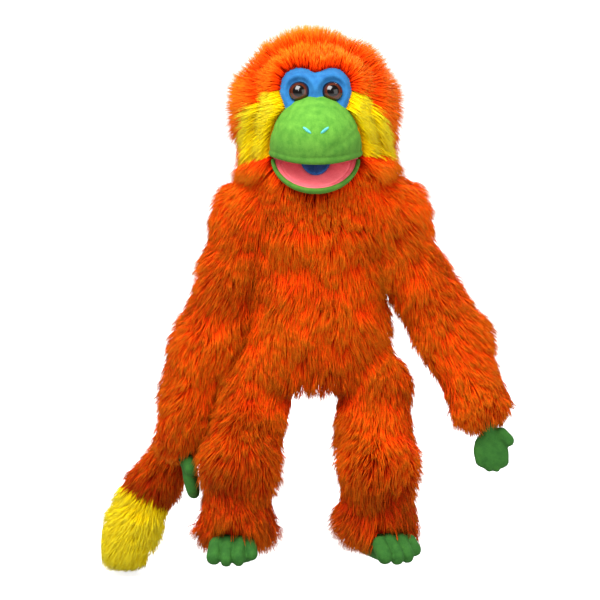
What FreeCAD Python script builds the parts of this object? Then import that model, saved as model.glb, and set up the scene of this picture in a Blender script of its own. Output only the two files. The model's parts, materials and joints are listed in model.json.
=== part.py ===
"""Hand puppet of a long-haired monkey with a moving mouth, arms, legs and a tail.

Frame: millimetres, +Z up. The face looks along -Y. The puppet's own left is +X.
The origin is the centre of the round opening that the hand goes into.
"""
import FreeCAD, Part
import os
import Sketcher
from FreeCAD import Placement, Rotation, Vector

DIMENSIONS = [
    ("fabric", 1.5, "thickness of a fabric skin"),
    ("pile", 4.0, "thickness of the dense lower part of the fur on the body and limbs"),
    ("head_pile", 8.0, "the same on the top and back of the head, where the fur stands up"),
    ("seam_gap", 0.3, "gap between two pieces that meet at a seam"),
    ("board", 2.0, "thickness of a mouth board"),
    ("lining", 1.0, "thickness of the mouth lining"),
    ("sleeve_radius", 40.0, "inside radius of the hand sleeve at its mouth"),
    ("sleeve_top_radius", 31.0, "inside radius of the hand sleeve at the neck"),
    ("sleeve_straight", 120.0, "height of the straight part of the sleeve"),
    ("hem_height", 3.8, "height of the bound hem round the opening"),
    ("body_bottom", 4.0, "where the body's own skin begins"),
    ("body_top", 204.0, "where the body's skin ends, under the neck"),
    ("hem_half_x", 56.0, "half width of the body at its bottom edge"),
    ("hem_half_y", 53.0, "half depth of the body at its bottom edge"),
    ("belly_half_x", 68.0, "half width of the belly"),
    ("belly_half_y", 57.0, "half depth of the belly"),
    ("flank_height", 20.0, "height of the body between its hem and its belly"),
    ("belly_height", 66.0, "height of the widest part of the belly"),
    ("chest_height", 118.0, "height of the chest"),
    ("breast_height", 160.0, "height where the chest begins to narrow"),
    ("throat_height", 188.0, "height where the body is nearly as narrow as its collar"),
    ("chest_half_x", 66.0, "half width of the chest"),
    ("chest_half_y", 54.0, "half depth of the chest"),
    ("collar_half_x", 56.0, "half width of the body under the neck"),
    ("collar_half_y", 42.0, "half depth of the body under the neck"),
    ("neck_radius", 39.0, "outside radius of the neck"),
    ("neck_bottom", 206.5, "lower edge of the neck"),
    ("neck_height", 21.0, "height of the neck"),
    ("head_centre", 313.0, "height of the head's centre"),
    ("head_half_x", 71.0, "half width of the head"),
    ("head_half_y", 68.0, "half depth of the head"),
    ("head_half_z", 68.0, "half height of the head"),
    ("palm_room_radius", 33.0, "radius of the hollow that the wrist fills in the head"),
    ("palm_room_top", 300.0, "top of the same hollow"),
    ("finger_pocket_half_x", 38.0, "half width of the pocket for the fingers over the mouth"),
    ("finger_pocket_half_y", 48.0, "half length of that pocket"),
    ("finger_pocket_height", 22.0, "height of that pocket"),
    ("thumb_pocket_half_x", 20.0, "half width of the pocket for the thumb under the mouth"),
    ("thumb_pocket_half_y", 30.0, "half length of that pocket"),
    ("thumb_pocket_depth", 12.0, "depth of that pocket"),
    ("thumb_pocket_forward", 14.0, "how far the thumb pocket's centre is in front of the hinge line"),
    ("tape_half_x", 42.0, "half width of the tape that hinges the mouth boards"),
    ("tape_set_back", 2.5, "how far the tape is behind the hinge line"),
    ("tape_drop", 7.0, "how far the tape reaches below the hinge line"),
    ("tape_rise", 9.0, "how far the tape reaches above the hinge line"),
    ("tape_room", 3.0, "room left round the tape in the head"),
    ("muzzle_forward", 50.0, "how far the muzzle's centre is in front of the neck"),
    ("muzzle_centre", 274.0, "height of the muzzle's centre"),
    ("muzzle_half_x", 54.0, "half width of the muzzle"),
    ("muzzle_half_y", 62.0, "half length of the muzzle"),
    ("muzzle_half_z", 60.0, "half height of the muzzle's full form"),
    ("lip_height", 267.0, "height of the upper lip's edge"),
    ("hinge_forward", 44.0, "how far the jaw's hinge line is in front of the neck"),
    ("hinge_height", 263.0, "height of the jaw's hinge line"),
    ("jaw_rest_angle", 30.0, "how far the jaw hangs open at rest, in degrees"),
    ("jaw_half_x", 52.0, "half width of the jaw"),
    ("jaw_length", 66.0, "length of the jaw from the hinge line to the lip"),
    ("chin_depth", 20.0, "depth of the chin below the lip"),
    ("tongue_half_x", 17.0, "half width of the tongue"),
    ("tongue_length", 36.0, "length of the tongue"),
    ("mask_lobe_radius", 22.0, "radius of each lobe of the eye mask"),
    ("mask_lobe_out", 18.5, "distance of a lobe's centre from the middle"),
    ("mask_lobe_height", 345.0, "height of the lobes' centres"),
    ("cheek_radius", 34.0, "radius of a cheek patch"),
    ("cheek_out", 52.0, "distance of a cheek patch's centre from the middle"),
    ("cheek_height", 291.0, "height of the cheek patches' centres"),
    ("eye_out", 19.0, "distance of an eye's centre from the middle"),
    ("eye_forward", 60.5, "how far an eye's back plane is in front of the neck"),
    ("eye_height", 340.8, "height of the eyes"),
    ("eye_radius", 12.0, "radius of an eye"),
    ("eye_dome_radius", 13.35, "radius of the sphere that the clear dome is cut from"),
    ("shank_radius", 2.6, "radius of the shank behind an eye"),
    ("shank_length", 14.0, "length of the shank behind an eye"),
    ("eye_back_thickness", 1.7, "thickness of the brown plate behind the clear dome"),
    ("washer_radius", 10.5, "radius of the washer that locks an eye"),
    ("washer_depth", 7.2, "depth of the washer's front behind the eye's back plane"),
    ("washer_thickness", 1.5, "thickness of the washer"),
    ("eye_clearance", 0.4, "room round an eye and its shank"),
    ("nostril_half_length", 6.4, "half length of a nostril's satin stitching"),
    ("nostril_half_width", 2.7, "half width of the same stitching"),
    ("nostril_half_depth", 1.8, "half depth of the same stitching"),
    ("nostril_out", 10.0, "distance of a nostril from the middle"),
    ("nostril_forward", 104.4, "how far a nostril is in front of the neck"),
    ("nostril_height", 300.5, "height of the nostrils"),
    ("arm_radius", 27.0, "radius of the upper arm's skin"),
    ("elbow_radius", 25.0, "radius of the arm's skin at the elbow"),
    ("wrist_radius", 22.0, "radius of the forearm's skin at the wrist"),
    ("thigh_radius", 26.0, "radius of the thigh's skin"),
    ("knee_radius", 24.0, "radius of the leg's skin at the knee"),
    ("ankle_radius", 22.0, "radius of the shin's skin at the ankle"),
    ("tail_radius", 16.0, "radius of the tail's skin"),
    ("tail_tip_radius", 14.0, "radius of the tail's skin at its tip"),
    ("tail_tip_length", 88.0, "length of the yellow end of the tail"),
    ("seam_tab_radius", 8.0, "radius of the sewn tab that joins a limb to the body"),
    ("shoulder_reach", 35.0, "from a shoulder's centre to the upper arm's end centre"),
    ("elbow_reach", 36.0, "from an elbow's centre to each arm piece's end centre"),
    ("wrist_reach", 25.0, "from a wrist's centre to the forearm's end centre"),
    ("hip_reach", 36.0, "from a hip's centre to the thigh's end centre"),
    ("knee_reach", 35.0, "from a knee's centre to each leg piece's end centre"),
    ("ankle_reach", 27.0, "from an ankle's centre to the shin's end centre"),
    ("tail_reach", 25.0, "from a tail joint's centre to each tail piece's end centre"),
    ("palm_half_x", 21.5, "half width of the palm"),
    ("palm_half_z", 24.0, "half length of the palm"),
    ("palm_drop", 6.0, "how far below the wrist the palm begins"),
    ("hand_half_thickness", 7.0, "half thickness of a hand"),
    ("finger_drop", 40.0, "how far below the wrist the fingers begin, inside the palm"),
    ("finger_radius", 5.4, "half width of a finger"),
    ("finger_pitch", 11.1, "distance between two fingers"),
    ("finger_length", 12.0, "length of the straight part of a finger"),
    ("thumb_radius", 6.0, "half width of the thumb"),
    ("thumb_length", 11.0, "length of the straight part of the thumb"),
    ("thumb_drop", 20.0, "how far below the wrist the thumb begins, inside the palm"),
    ("thumb_inset", 8.0, "how far inside the palm's edge the thumb begins"),
    ("foot_half_x", 27.0, "half width of a foot"),
    ("foot_half_y", 36.0, "half length of a foot"),
    ("foot_half_z", 14.5, "half height of a foot"),
    ("sole_forward", 20.0, "how far the sole's centre is in front of the ankle"),
    ("sole_drop", 19.0, "how far the sole's centre is below the ankle"),
    ("toe_forward", 44.0, "how far in front of the ankle the toes begin, inside the sole"),
    ("toe_drop", 21.0, "how far below the ankle the toes are"),
    ("toe_radius", 7.2, "half width of a toe"),
    ("toe_pitch", 14.8, "distance between two toes"),
    ("toe_length", 11.0, "length of the straight part of a toe"),
    ("foot_padding", 2.5, "thickness of a foot's skin and its padding"),
]

# Centres of the soft joints. The puppet hangs in an easy pose, so its sides differ a little.
LEFT_ARM = {
    "shoulder": Vector(82, 0, 182),
    "elbow": Vector(160, -12, 50),
    "wrist": Vector(201, -56, -44),
}
RIGHT_ARM = {
    "shoulder": Vector(-82, 0, 182),
    "elbow": Vector(-137, -12, 38),
    "wrist": Vector(-150, -30, -80),
}
LEFT_LEG = {
    "hip": Vector(67, -12, -10),
    "knee": Vector(71, -50, -88),
    "ankle": Vector(74, -38, -170),
}
RIGHT_LEG = {
    "hip": Vector(-67, -12, -10),
    "knee": Vector(-88, -50, -86),
    "ankle": Vector(-92, -37, -172),
}
TAIL = {
    "root": Vector(-12, 76, 24),
    "middle": Vector(-142, 66, -66),
    "tip": Vector(-226, 52, -216),
}

FORWARD = Vector(0, -1, 0)
SIDEWAYS = Vector(1, 0, 0)
UP = Vector(0, 0, 1)
FAR = "400"
NOSTRIL_SLANT = 36
NOSTRIL_TILT = 27
NOSTRIL_TURN = 14
FUR_WALL = "(Sizes.fabric + Sizes.pile)"
SLEEVE_WALL = "(Sizes.fabric + Sizes.seam_gap)"

doc = FreeCAD.newDocument("mouth_puppet")
sheet = doc.addObject("Spreadsheet::Sheet", "Sizes")
nodes = {}


# ---------------------------------------------------------------- helpers

def fill_sheet():
    for row, (alias, value, note) in enumerate(DIMENSIONS, start=1):
        sheet.set(f"A{row}", str(value))
        sheet.setAlias(f"A{row}", alias)
        sheet.set(f"B{row}", note)
    doc.recompute()


def value(expression):
    """The number that an expression on the sheet has now."""
    return float(sheet.evalExpression(str(expression)))


def bind(thing, expressions):
    for name, expression in expressions.items():
        thing.setExpression(name, str(expression))


def move_to(thing, x, y, z):
    bind(thing, {"Placement.Base.x": x, "Placement.Base.y": y, "Placement.Base.z": z})


def publish(node, solid, placement=None):
    """Name a finished sub-part; its Label names its file."""
    solid.Label = node
    if placement is not None:
        solid.Placement = placement
    nodes[node] = solid
    return solid


def ellipsoid(name, halves, centre):
    solid = doc.addObject("Part::Ellipsoid", name)
    solid.Angle1 = -90
    solid.Angle2 = 90
    bind(solid, {"Radius2": halves[0], "Radius3": halves[1], "Radius1": halves[2]})
    move_to(solid, *centre)
    return solid


def box(name, low, high):
    solid = doc.addObject("Part::Box", name)
    sides = [f"({b}) - ({a})" for a, b in zip(low, high)]
    bind(solid, {"Length": sides[0], "Width": sides[1], "Height": sides[2]})
    move_to(solid, *low)
    return solid


def cylinder(name, radius, height, centre, direction=UP):
    solid = doc.addObject("Part::Cylinder", name)
    solid.Placement = Placement(Vector(), Rotation(UP, direction))
    bind(solid, {"Radius": radius, "Height": height})
    move_to(solid, *centre)
    return solid


def cut(name, base, *tools):
    tool = tools[0] if len(tools) == 1 else fuse(name + "_tools", *tools)
    result = doc.addObject("Part::Cut", name)
    result.Base = base
    result.Tool = tool
    return result


def common(name, one, other):
    result = doc.addObject("Part::Common", name)
    result.Base = one
    result.Tool = other
    return result


def fuse(name, *solids):
    result = doc.addObject("Part::MultiFuse", name)
    result.Shapes = list(solids)
    return result


def new_sketch(body, name):
    sketch = body.newObject("Sketcher::SketchObject", name)
    plane = [item for item in body.Origin.OriginFeatures if item.Role == "XZ_Plane"][0]
    sketch.AttachmentSupport = [(plane, "")]
    sketch.MapMode = "FlatFace"
    return sketch


def constrain(sketch, kind, places, expression=None):
    if expression is None:
        sketch.addConstraint(Sketcher.Constraint(kind, *places))
        return
    index = sketch.addConstraint(Sketcher.Constraint(kind, *places, value(expression)))
    sketch.setExpression(f"Constraints[{index}]", str(expression))


def turned(name, corners):
    """A body turned about its own Z axis from a closed outline of (radius, height) corners."""
    body = doc.addObject("PartDesign::Body", name)
    sketch = new_sketch(body, name + "_outline")
    points = [Vector(value(r), value(z), 0) for r, z in corners]
    count = len(points)
    for i in range(count):
        sketch.addGeometry(Part.LineSegment(points[i], points[(i + 1) % count]), False)
    for i in range(count):
        constrain(sketch, "Coincident", (i, 2, (i + 1) % count, 1))
    for i, (radius, height) in enumerate(corners):
        constrain(sketch, "DistanceX", (-1, 1, i, 1), radius)
        constrain(sketch, "DistanceY", (-1, 1, i, 1), height)
    turn = body.newObject("PartDesign::Revolution", name + "_turn")
    turn.Profile = sketch
    turn.ReferenceAxis = (sketch, ["V_Axis"])
    turn.Angle = 360
    return body


def sausage_outline(body, name, start_radius, end_radius, span):
    """Half of a round-ended bar: two quarter circles, a tapering side and the axis."""
    sketch = new_sketch(body, name)
    r_start = value(start_radius)
    r_end = value(end_radius)
    reach = value(span)
    quarter = 1.5707963267948966
    normal = Vector(0, 0, 1)
    end_circle = Part.Circle(Vector(0, reach, 0), normal, r_end)
    start_circle = Part.Circle(Vector(0, 0, 0), normal, r_start)
    sketch.addGeometry(Part.LineSegment(Vector(0, -r_start, 0), Vector(0, reach + r_end, 0)), False)
    sketch.addGeometry(Part.ArcOfCircle(end_circle, 0, quarter), False)
    sketch.addGeometry(Part.LineSegment(Vector(r_end, reach, 0), Vector(r_start, 0, 0)), False)
    sketch.addGeometry(Part.ArcOfCircle(start_circle, -quarter, 0), False)
    constrain(sketch, "Coincident", (0, 2, 1, 2))
    constrain(sketch, "Coincident", (1, 1, 2, 1))
    constrain(sketch, "Coincident", (2, 2, 3, 2))
    constrain(sketch, "Coincident", (3, 1, 0, 1))
    constrain(sketch, "Coincident", (3, 3, -1, 1))
    constrain(sketch, "PointOnObject", (1, 3, -2))
    constrain(sketch, "PointOnObject", (0, 1, -2))
    constrain(sketch, "PointOnObject", (0, 2, -2))
    constrain(sketch, "Horizontal", (1, 3, 2, 1))
    constrain(sketch, "Horizontal", (3, 3, 2, 2))
    constrain(sketch, "DistanceY", (-1, 1, 1, 3), span)
    constrain(sketch, "Radius", (1,), end_radius)
    constrain(sketch, "Radius", (3,), start_radius)
    return sketch


def turn_sketch(body, kind, name, sketch):
    feature = body.newObject(kind, name)
    feature.Profile = sketch
    feature.ReferenceAxis = (sketch, ["V_Axis"])
    feature.Angle = 360
    return feature


def sausage(name, start_radius, end_radius, span, wall=None):
    """A round-ended bar along +Z, or its skin alone when a wall is given."""
    body = doc.addObject("PartDesign::Body", name)
    outline = sausage_outline(body, name + "_outline", start_radius, end_radius, span)
    turn_sketch(body, "PartDesign::Revolution", name + "_turn", outline)
    if wall is None:
        return body
    inside = sausage_outline(
        body, name + "_inside", f"({start_radius}) - {wall}", f"({end_radius}) - {wall}", span
    )
    doc.recompute()
    turn_sketch(body, "PartDesign::Groove", name + "_hollow", inside)
    return body


# ---------------------------------------------------------------- body and neck

def between(one, other, share):
    """Half width and half depth of the body part of the way from one oval to another."""
    return tuple(
        f"({1 - share} * Sizes.{one}_half_{side} + {share} * Sizes.{other}_half_{side})" for side in "xy"
    )


def body_loft(name, inset):
    """The body's form, lofted through ovals."""
    rows = [
        ("Sizes.body_bottom", between("hem", "belly", 0)),
        ("Sizes.flank_height", between("hem", "belly", 2 / 3)),
        ("Sizes.belly_height", between("hem", "belly", 1)),
        ("Sizes.chest_height", between("chest", "collar", 0)),
        ("Sizes.breast_height", between("chest", "collar", 1 / 3)),
        ("Sizes.throat_height", between("chest", "collar", 3 / 4)),
        ("Sizes.body_top", between("chest", "collar", 1)),
    ]
    ovals = []
    for height, (half_x, half_y) in rows:
        oval = doc.addObject("Part::Ellipse", name + "_oval")
        bind(oval, {"MajorRadius": f"{half_x} - ({inset})", "MinorRadius": f"{half_y} - ({inset})"})
        move_to(oval, 0, 0, height)
        ovals.append(oval)
    loft = doc.addObject("Part::Loft", name)
    loft.Sections = ovals
    loft.Solid = True
    loft.Ruled = False
    return loft


def make_body():
    publish("hand_sleeve", turned("hand_sleeve", [
        ("Sizes.sleeve_radius", "0"),
        ("Sizes.sleeve_radius + Sizes.fabric", "0"),
        ("Sizes.sleeve_radius + Sizes.fabric", "Sizes.sleeve_straight"),
        ("Sizes.sleeve_top_radius + Sizes.fabric", "Sizes.body_top"),
        ("Sizes.sleeve_top_radius", "Sizes.body_top"),
        ("Sizes.sleeve_radius", "Sizes.sleeve_straight"),
    ]))
    outer = body_loft("body_outer", "0")
    inner = body_loft("body_inner", FUR_WALL)
    publish("body_skin", cut("body_skin", outer, inner))
    filling = body_loft("body_filling", FUR_WALL + " + Sizes.seam_gap")
    room = turned("sleeve_room", [
        ("0", "-5"),
        (f"Sizes.sleeve_radius + {SLEEVE_WALL}", "-5"),
        (f"Sizes.sleeve_radius + {SLEEVE_WALL}", "Sizes.sleeve_straight"),
        (f"Sizes.sleeve_top_radius + {SLEEVE_WALL}", "Sizes.body_top"),
        (f"Sizes.sleeve_top_radius + {SLEEVE_WALL}", "Sizes.body_top + 5"),
        ("0", "Sizes.body_top + 5"),
    ])
    publish("body_stuffing", cut("body_stuffing", filling, room))
    hem_inside = f"Sizes.sleeve_radius + {SLEEVE_WALL}"
    publish("sleeve_hem", turned("sleeve_hem", [
        (hem_inside, "0"),
        ("Sizes.hem_half_y - 1", "0"),
        ("Sizes.hem_half_y", "Sizes.hem_height / 2"),
        ("Sizes.hem_half_y - 1", "Sizes.hem_height"),
        (hem_inside, "Sizes.hem_height"),
    ]))


def make_neck():
    top = "Sizes.neck_bottom + Sizes.neck_height"
    publish("neck_skin", turned("neck_skin", [
        (f"Sizes.neck_radius - {FUR_WALL}", "Sizes.neck_bottom"),
        ("Sizes.neck_radius", "Sizes.neck_bottom"),
        ("Sizes.neck_radius", top),
        (f"Sizes.neck_radius - {FUR_WALL}", top),
    ]))
    publish("neck_sleeve", turned("neck_sleeve", [
        ("Sizes.sleeve_top_radius", "Sizes.neck_bottom"),
        ("Sizes.sleeve_top_radius + Sizes.fabric", "Sizes.neck_bottom"),
        ("Sizes.sleeve_top_radius + Sizes.fabric", top),
        ("Sizes.sleeve_top_radius", top),
    ]))


# ---------------------------------------------------------------- head

def head_form(name, inset):
    halves = [f"Sizes.head_half_{side} - ({inset})" for side in "xyz"]
    return ellipsoid(name, halves, ("0", "0", "Sizes.head_centre"))


def muzzle_form(name, inset):
    halves = [f"Sizes.muzzle_half_{side} - ({inset})" for side in "xyz"]
    return ellipsoid(name, halves, ("0", "-Sizes.muzzle_forward", "Sizes.muzzle_centre"))


def mask_prism(name, growth):
    """The eye mask's outline run through the face: two lobes and the bridge between them."""
    lobes = []
    radius = f"Sizes.mask_lobe_radius + {growth}"
    for side in (-1, 1):
        centre = (f"{side} * Sizes.mask_lobe_out", "-20", "Sizes.mask_lobe_height")
        lobes.append(cylinder(name + "_lobe", radius, "90", centre, FORWARD))
    wide = f"Sizes.mask_lobe_out + {growth}"
    bridge = box(
        name + "_bridge",
        (f"-({wide})", "-110", "Sizes.mask_lobe_height - Sizes.mask_lobe_radius - 14"),
        (wide, "-20", "Sizes.mask_lobe_height"),
    )
    return fuse(name, bridge, *lobes)


def cheek_prism(name, side, growth):
    centre = (f"{side} * Sizes.cheek_out", "-10", "Sizes.cheek_height")
    return cylinder(name, f"Sizes.cheek_radius + {growth}", "90", centre, FORWARD)


def eye_placement(side):
    direction = Vector(side * 0.12, -0.955, 0.27)
    place = Vector(
        side * value("Sizes.eye_out"), -value("Sizes.eye_forward"), value("Sizes.eye_height")
    )
    return Placement(place, Rotation(UP, direction))


def eye_well(name, side, radius, depth):
    """A round hole on an eye's axis, from the given depth behind its back plane to the open air."""
    hole = doc.addObject("Part::Cylinder", name)
    bind(hole, {"Radius": radius, "Height": f"{depth} + 25"})
    place = eye_placement(side)
    hole.Placement = place.multiply(Placement(Vector(0, 0, -value(depth)), Rotation()))
    return hole


def make_eyes():
    washers = []
    for side, word in ((1, "left"), (-1, "right")):
        ball = doc.addObject("Part::Sphere", word + "_dome_ball")
        bind(ball, {"Radius": "Sizes.eye_dome_radius"})
        rise = "sqrt(Sizes.eye_dome_radius ^ 2 - Sizes.eye_radius ^ 2)"
        move_to(ball, "0", "0", f"-{rise}")
        above = box(word + "_dome_side", ("-20", "-20", "0.1"), ("20", "20", "20"))
        dome = common(word + "_eye_dome", ball, above)
        publish(word + "_eye_dome", dome, eye_placement(side))
        back = turned(word + "_eye_back", [
            ("0", "0"),
            ("Sizes.eye_radius - 0.4", "0"),
            ("Sizes.eye_radius - 0.4", "-Sizes.eye_back_thickness"),
            ("Sizes.shank_radius", "-Sizes.eye_back_thickness"),
            ("Sizes.shank_radius", "-Sizes.shank_length"),
            ("0", "-Sizes.shank_length"),
        ])
        publish(word + "_eye_back", back, eye_placement(side))
        washer = turned(word + "_washer", [
            ("Sizes.shank_radius + 0.1", "-Sizes.washer_depth - Sizes.washer_thickness"),
            ("Sizes.washer_radius", "-Sizes.washer_depth - Sizes.washer_thickness"),
            ("Sizes.washer_radius", "-Sizes.washer_depth"),
            ("Sizes.shank_radius + 0.1", "-Sizes.washer_depth"),
        ])
        washer.Placement = eye_placement(side)
        washers.append(washer)
    pair = doc.addObject("Part::Compound", "eye_washers")
    pair.Links = washers
    publish("eye_washers", pair)


def oval_plate(name, halves, centre_y, back_y, bottom, thickness):
    """A flat plate with an oval front and a straight back edge."""
    oval = doc.addObject("Part::Ellipse", name + "_outline")
    oval.Placement = Placement(Vector(), Rotation(UP, 90))
    bind(oval, {"MajorRadius": halves[1], "MinorRadius": halves[0]})
    move_to(oval, "0", centre_y, bottom)
    slab = doc.addObject("Part::Extrusion", name + "_slab")
    slab.Base = oval
    slab.DirMode = "Custom"
    slab.Dir = UP
    slab.Solid = True
    bind(slab, {"LengthFwd": thickness})
    front = box(name + "_front", (f"-{FAR}", f"-{FAR}", "0"), (FAR, back_y, FAR))
    return common(name, slab, front)


def head_room():
    """The hollows that the mouth, the wrist and the hinge tape need in the head."""
    above_lip = box("above_lip", (f"-{FAR}", f"-{FAR}", "Sizes.hinge_height - 1"), (FAR, "20", FAR))
    muzzle_room = common("muzzle_room", muzzle_form("muzzle_inner", "Sizes.fabric"), above_lip)
    muzzle_seat = common("muzzle_seat_above", muzzle_form("muzzle_seat", "-Sizes.seam_gap"), above_lip)
    depth = "Sizes.palm_room_top - 200"
    palm_room = cylinder("palm_room", "Sizes.palm_room_radius", depth, ("0", "0", "200"))
    back = "-Sizes.hinge_forward + Sizes.tape_set_back"
    tape_low = "Sizes.hinge_height - Sizes.tape_drop - 4"
    tape_high = "Sizes.hinge_height + Sizes.tape_rise + 4"
    tape_slot = box(
        "tape_slot",
        ("-Sizes.tape_half_x - 1", f"{back} - Sizes.tape_room - 1", tape_low),
        ("Sizes.tape_half_x + 1", f"{back} + Sizes.tape_room", tape_high),
    )
    return muzzle_room, muzzle_seat, palm_room, tape_slot


def furred_skull():
    """The head's cloth shell with the deeper fur that stands up on its crown and back."""
    shell = cut("head_shell", head_form("head_outer", "0"), head_form("head_inner", "Sizes.fabric"))
    deep = head_form("crown_outer", "-Sizes.head_pile")
    crown_form = cut("crown_form", deep, head_form("crown_inner", "Sizes.fabric / 2"))
    crown_side = box("crown_side", (f"-{FAR}", f"-{FAR}", "Sizes.lip_height + 5"), (FAR, FAR, FAR))
    crown = common("crown", crown_form, crown_side)
    return shell, fuse("head_furred", shell, crown)


def make_head():
    muzzle_room, muzzle_seat, palm_room, tape_slot = head_room()
    shell, furred = furred_skull()
    mask = mask_prism("mask_outline", "0")
    mask_grown = mask_prism("mask_outline_grown", "Sizes.seam_gap")
    cheeks_grown = [cheek_prism(f"cheek_grown_{side}", side, "Sizes.seam_gap") for side in (1, -1)]
    publish("head_fur_skin", cut(
        "head_fur_skin", furred, mask_grown, *cheeks_grown, muzzle_seat, palm_room, tape_slot
    ))
    around_eye = "Sizes.eye_radius + Sizes.eye_clearance"
    around_shank = "Sizes.shank_radius + Sizes.eye_clearance / 2"
    shank_depth = "Sizes.shank_length + 0.5"
    seats = [eye_well(f"eye_seat_{side}", side, around_eye, "1.8") for side in (1, -1)]
    shanks = [eye_well(f"shank_hole_{side}", side, around_shank, shank_depth) for side in (1, -1)]
    mask_patch = common("mask_patch", shell, mask)
    publish("eye_mask", cut("eye_mask", mask_patch, muzzle_room, *seats, *shanks))
    for side, word in ((1, "left"), (-1, "right")):
        patch = common(word + "_cheek_patch", shell, cheek_prism(word + "_cheek_outline", side, "0"))
        publish(word + "_cheek", cut(word + "_cheek", patch, mask_grown, muzzle_room, palm_room))

    well_depth = "Sizes.washer_depth + Sizes.washer_thickness + 0.5"
    wells = [eye_well(f"eye_well_{side}", side, around_eye, well_depth) for side in (1, -1)]
    foam = head_form("foam_outer", "Sizes.fabric + Sizes.seam_gap")
    publish("head_foam", cut("head_foam", foam, tape_slot, *wells, *shanks, muzzle_room, palm_room))


def mouth_pocket(name, halves, centre, keep):
    """A thin dome of cloth over a mouth board, open at the back, for fingers or the thumb."""
    outer = ellipsoid(name + "_outer", halves, centre)
    inner = ellipsoid(name + "_inner", [f"{half} - Sizes.lining" for half in halves], centre)
    return common(name, cut(name + "_dome", outer, inner), keep)


def make_muzzle():
    hollow = muzzle_form("muzzle_hollow", "Sizes.fabric")
    shell = cut("muzzle_shell", muzzle_form("muzzle_outer", "0"), hollow)
    above = box("muzzle_above_lip", (f"-{FAR}", f"-{FAR}", "Sizes.lip_height"), (FAR, FAR, FAR))
    upper = common("muzzle_upper", shell, above)
    head_face = head_form("head_outer_for_muzzle", "-Sizes.seam_gap")
    publish("muzzle_cover", cut("muzzle_cover", upper, head_face))
    inset = "(Sizes.fabric + Sizes.seam_gap + 0.5)"
    halves = (f"Sizes.muzzle_half_x - {inset}", f"Sizes.muzzle_half_y - {inset}")
    middle = "-Sizes.muzzle_forward"
    back = "-Sizes.hinge_forward - 2"
    palate_bottom = "Sizes.lip_height + 0.2"
    board_bottom = f"{palate_bottom} + Sizes.lining + 0.2"
    publish("palate_lining", oval_plate(
        "palate_lining", halves, middle, back, palate_bottom, "Sizes.lining",
    ))
    publish("upper_mouth_board", oval_plate(
        "upper_mouth_board", halves, middle, back, board_bottom, "Sizes.board",
    ))
    floor = f"{board_bottom} + Sizes.board + 0.2"
    pocket_halves = (
        "Sizes.finger_pocket_half_x", "Sizes.finger_pocket_half_y", "Sizes.finger_pocket_height"
    )
    keep = box("finger_pocket_keep", (f"-{FAR}", f"-{FAR}", floor), (FAR, f"{middle} - 4", FAR))
    publish("finger_pocket", mouth_pocket(
        "finger_pocket", pocket_halves, ("0", f"{middle} - 2", floor), keep
    ))
    tape_back = "-Sizes.hinge_forward + Sizes.tape_set_back"
    publish("mouth_hinge_tape", box(
        "mouth_hinge_tape",
        ("-Sizes.tape_half_x", tape_back, "Sizes.hinge_height - Sizes.tape_drop"),
        ("Sizes.tape_half_x", f"{tape_back} + Sizes.lining", "Sizes.hinge_height + Sizes.tape_rise"),
    ))


def make_nostrils():
    """Two slanting satin-stitched nostrils that stand a little out of the muzzle."""
    halves = ("Sizes.nostril_half_length", "Sizes.nostril_half_width", "Sizes.nostril_half_depth")
    stitches = []
    for side in (1, -1):
        centre = (f"{side} * Sizes.nostril_out", "-Sizes.nostril_forward", "Sizes.nostril_height")
        satin = ellipsoid(f"nostril_satin_{side}", halves, centre)
        along_muzzle = Rotation(UP, side * NOSTRIL_TURN) * Rotation(Vector(1, 0, 0), -NOSTRIL_TILT)
        slant = Rotation(FORWARD, side * NOSTRIL_SLANT)
        satin.Placement = Placement(satin.Placement.Base, along_muzzle * slant)
        stitches.append(satin)
    pair = fuse("nostril_pair", *stitches)
    publish("nostril_stitching", cut("nostril_stitching", pair, muzzle_form("muzzle_face", "-0.1")))


# ---------------------------------------------------------------- jaw

def make_jaw():
    hinge = Vector(0, -value("Sizes.hinge_forward"), value("Sizes.hinge_height"))
    hang = Placement(Vector(), Rotation(SIDEWAYS, value("Sizes.jaw_rest_angle")), hinge)
    back = "-Sizes.hinge_forward - 3"
    lip = "Sizes.hinge_height - 0.2"
    centre = ("0", "-Sizes.hinge_forward", lip)
    halves = ("Sizes.jaw_half_x", "Sizes.jaw_length", "Sizes.chin_depth")
    outer = ellipsoid("chin_outer", halves, centre)
    inner = ellipsoid("chin_inner", [f"{half} - Sizes.fabric" for half in halves], centre)
    below = box("chin_keep", (f"-{FAR}", f"-{FAR}", "0"), (FAR, f"{back} - 3", lip))
    publish("chin_cover", common("chin_cover", cut("chin_shell", outer, inner), below), hang)

    def plate(name, inset, drop, thickness):
        plate_halves = (f"Sizes.jaw_half_x - {inset}", f"Sizes.jaw_length - {inset}")
        bottom = f"Sizes.hinge_height - {drop}"
        publish(name, oval_plate(name, plate_halves, centre[1], back, bottom, thickness), hang)

    plate("mouth_floor_lining", 2.0, 1.2, "Sizes.lining")
    plate("lower_mouth_board", 4.0, 3.4, "Sizes.board")
    tongue_halves = ("Sizes.tongue_half_x", "Sizes.tongue_length")
    publish("tongue", oval_plate(
        "tongue", tongue_halves, centre[1], back, "Sizes.hinge_height", "Sizes.fabric"
    ), hang)
    roof = "Sizes.hinge_height - 3.6"
    pocket_halves = (
        "Sizes.thumb_pocket_half_x", "Sizes.thumb_pocket_half_y", "Sizes.thumb_pocket_depth"
    )
    pocket_centre = ("0", "-Sizes.hinge_forward - Sizes.thumb_pocket_forward", roof)
    keep = box("thumb_pocket_keep", (f"-{FAR}", f"-{FAR}", "0"), (FAR, f"{back} - 3", roof))
    publish("thumb_pocket", mouth_pocket("thumb_pocket", pocket_halves, pocket_centre, keep), hang)


# ---------------------------------------------------------------- limbs and tail

def along(start, end, reach):
    """Place a piece whose own +Z runs from start to end, reach beyond start."""
    direction = (end - start).normalize()
    return Placement(start + direction * value(reach), Rotation(UP, direction))


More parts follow.
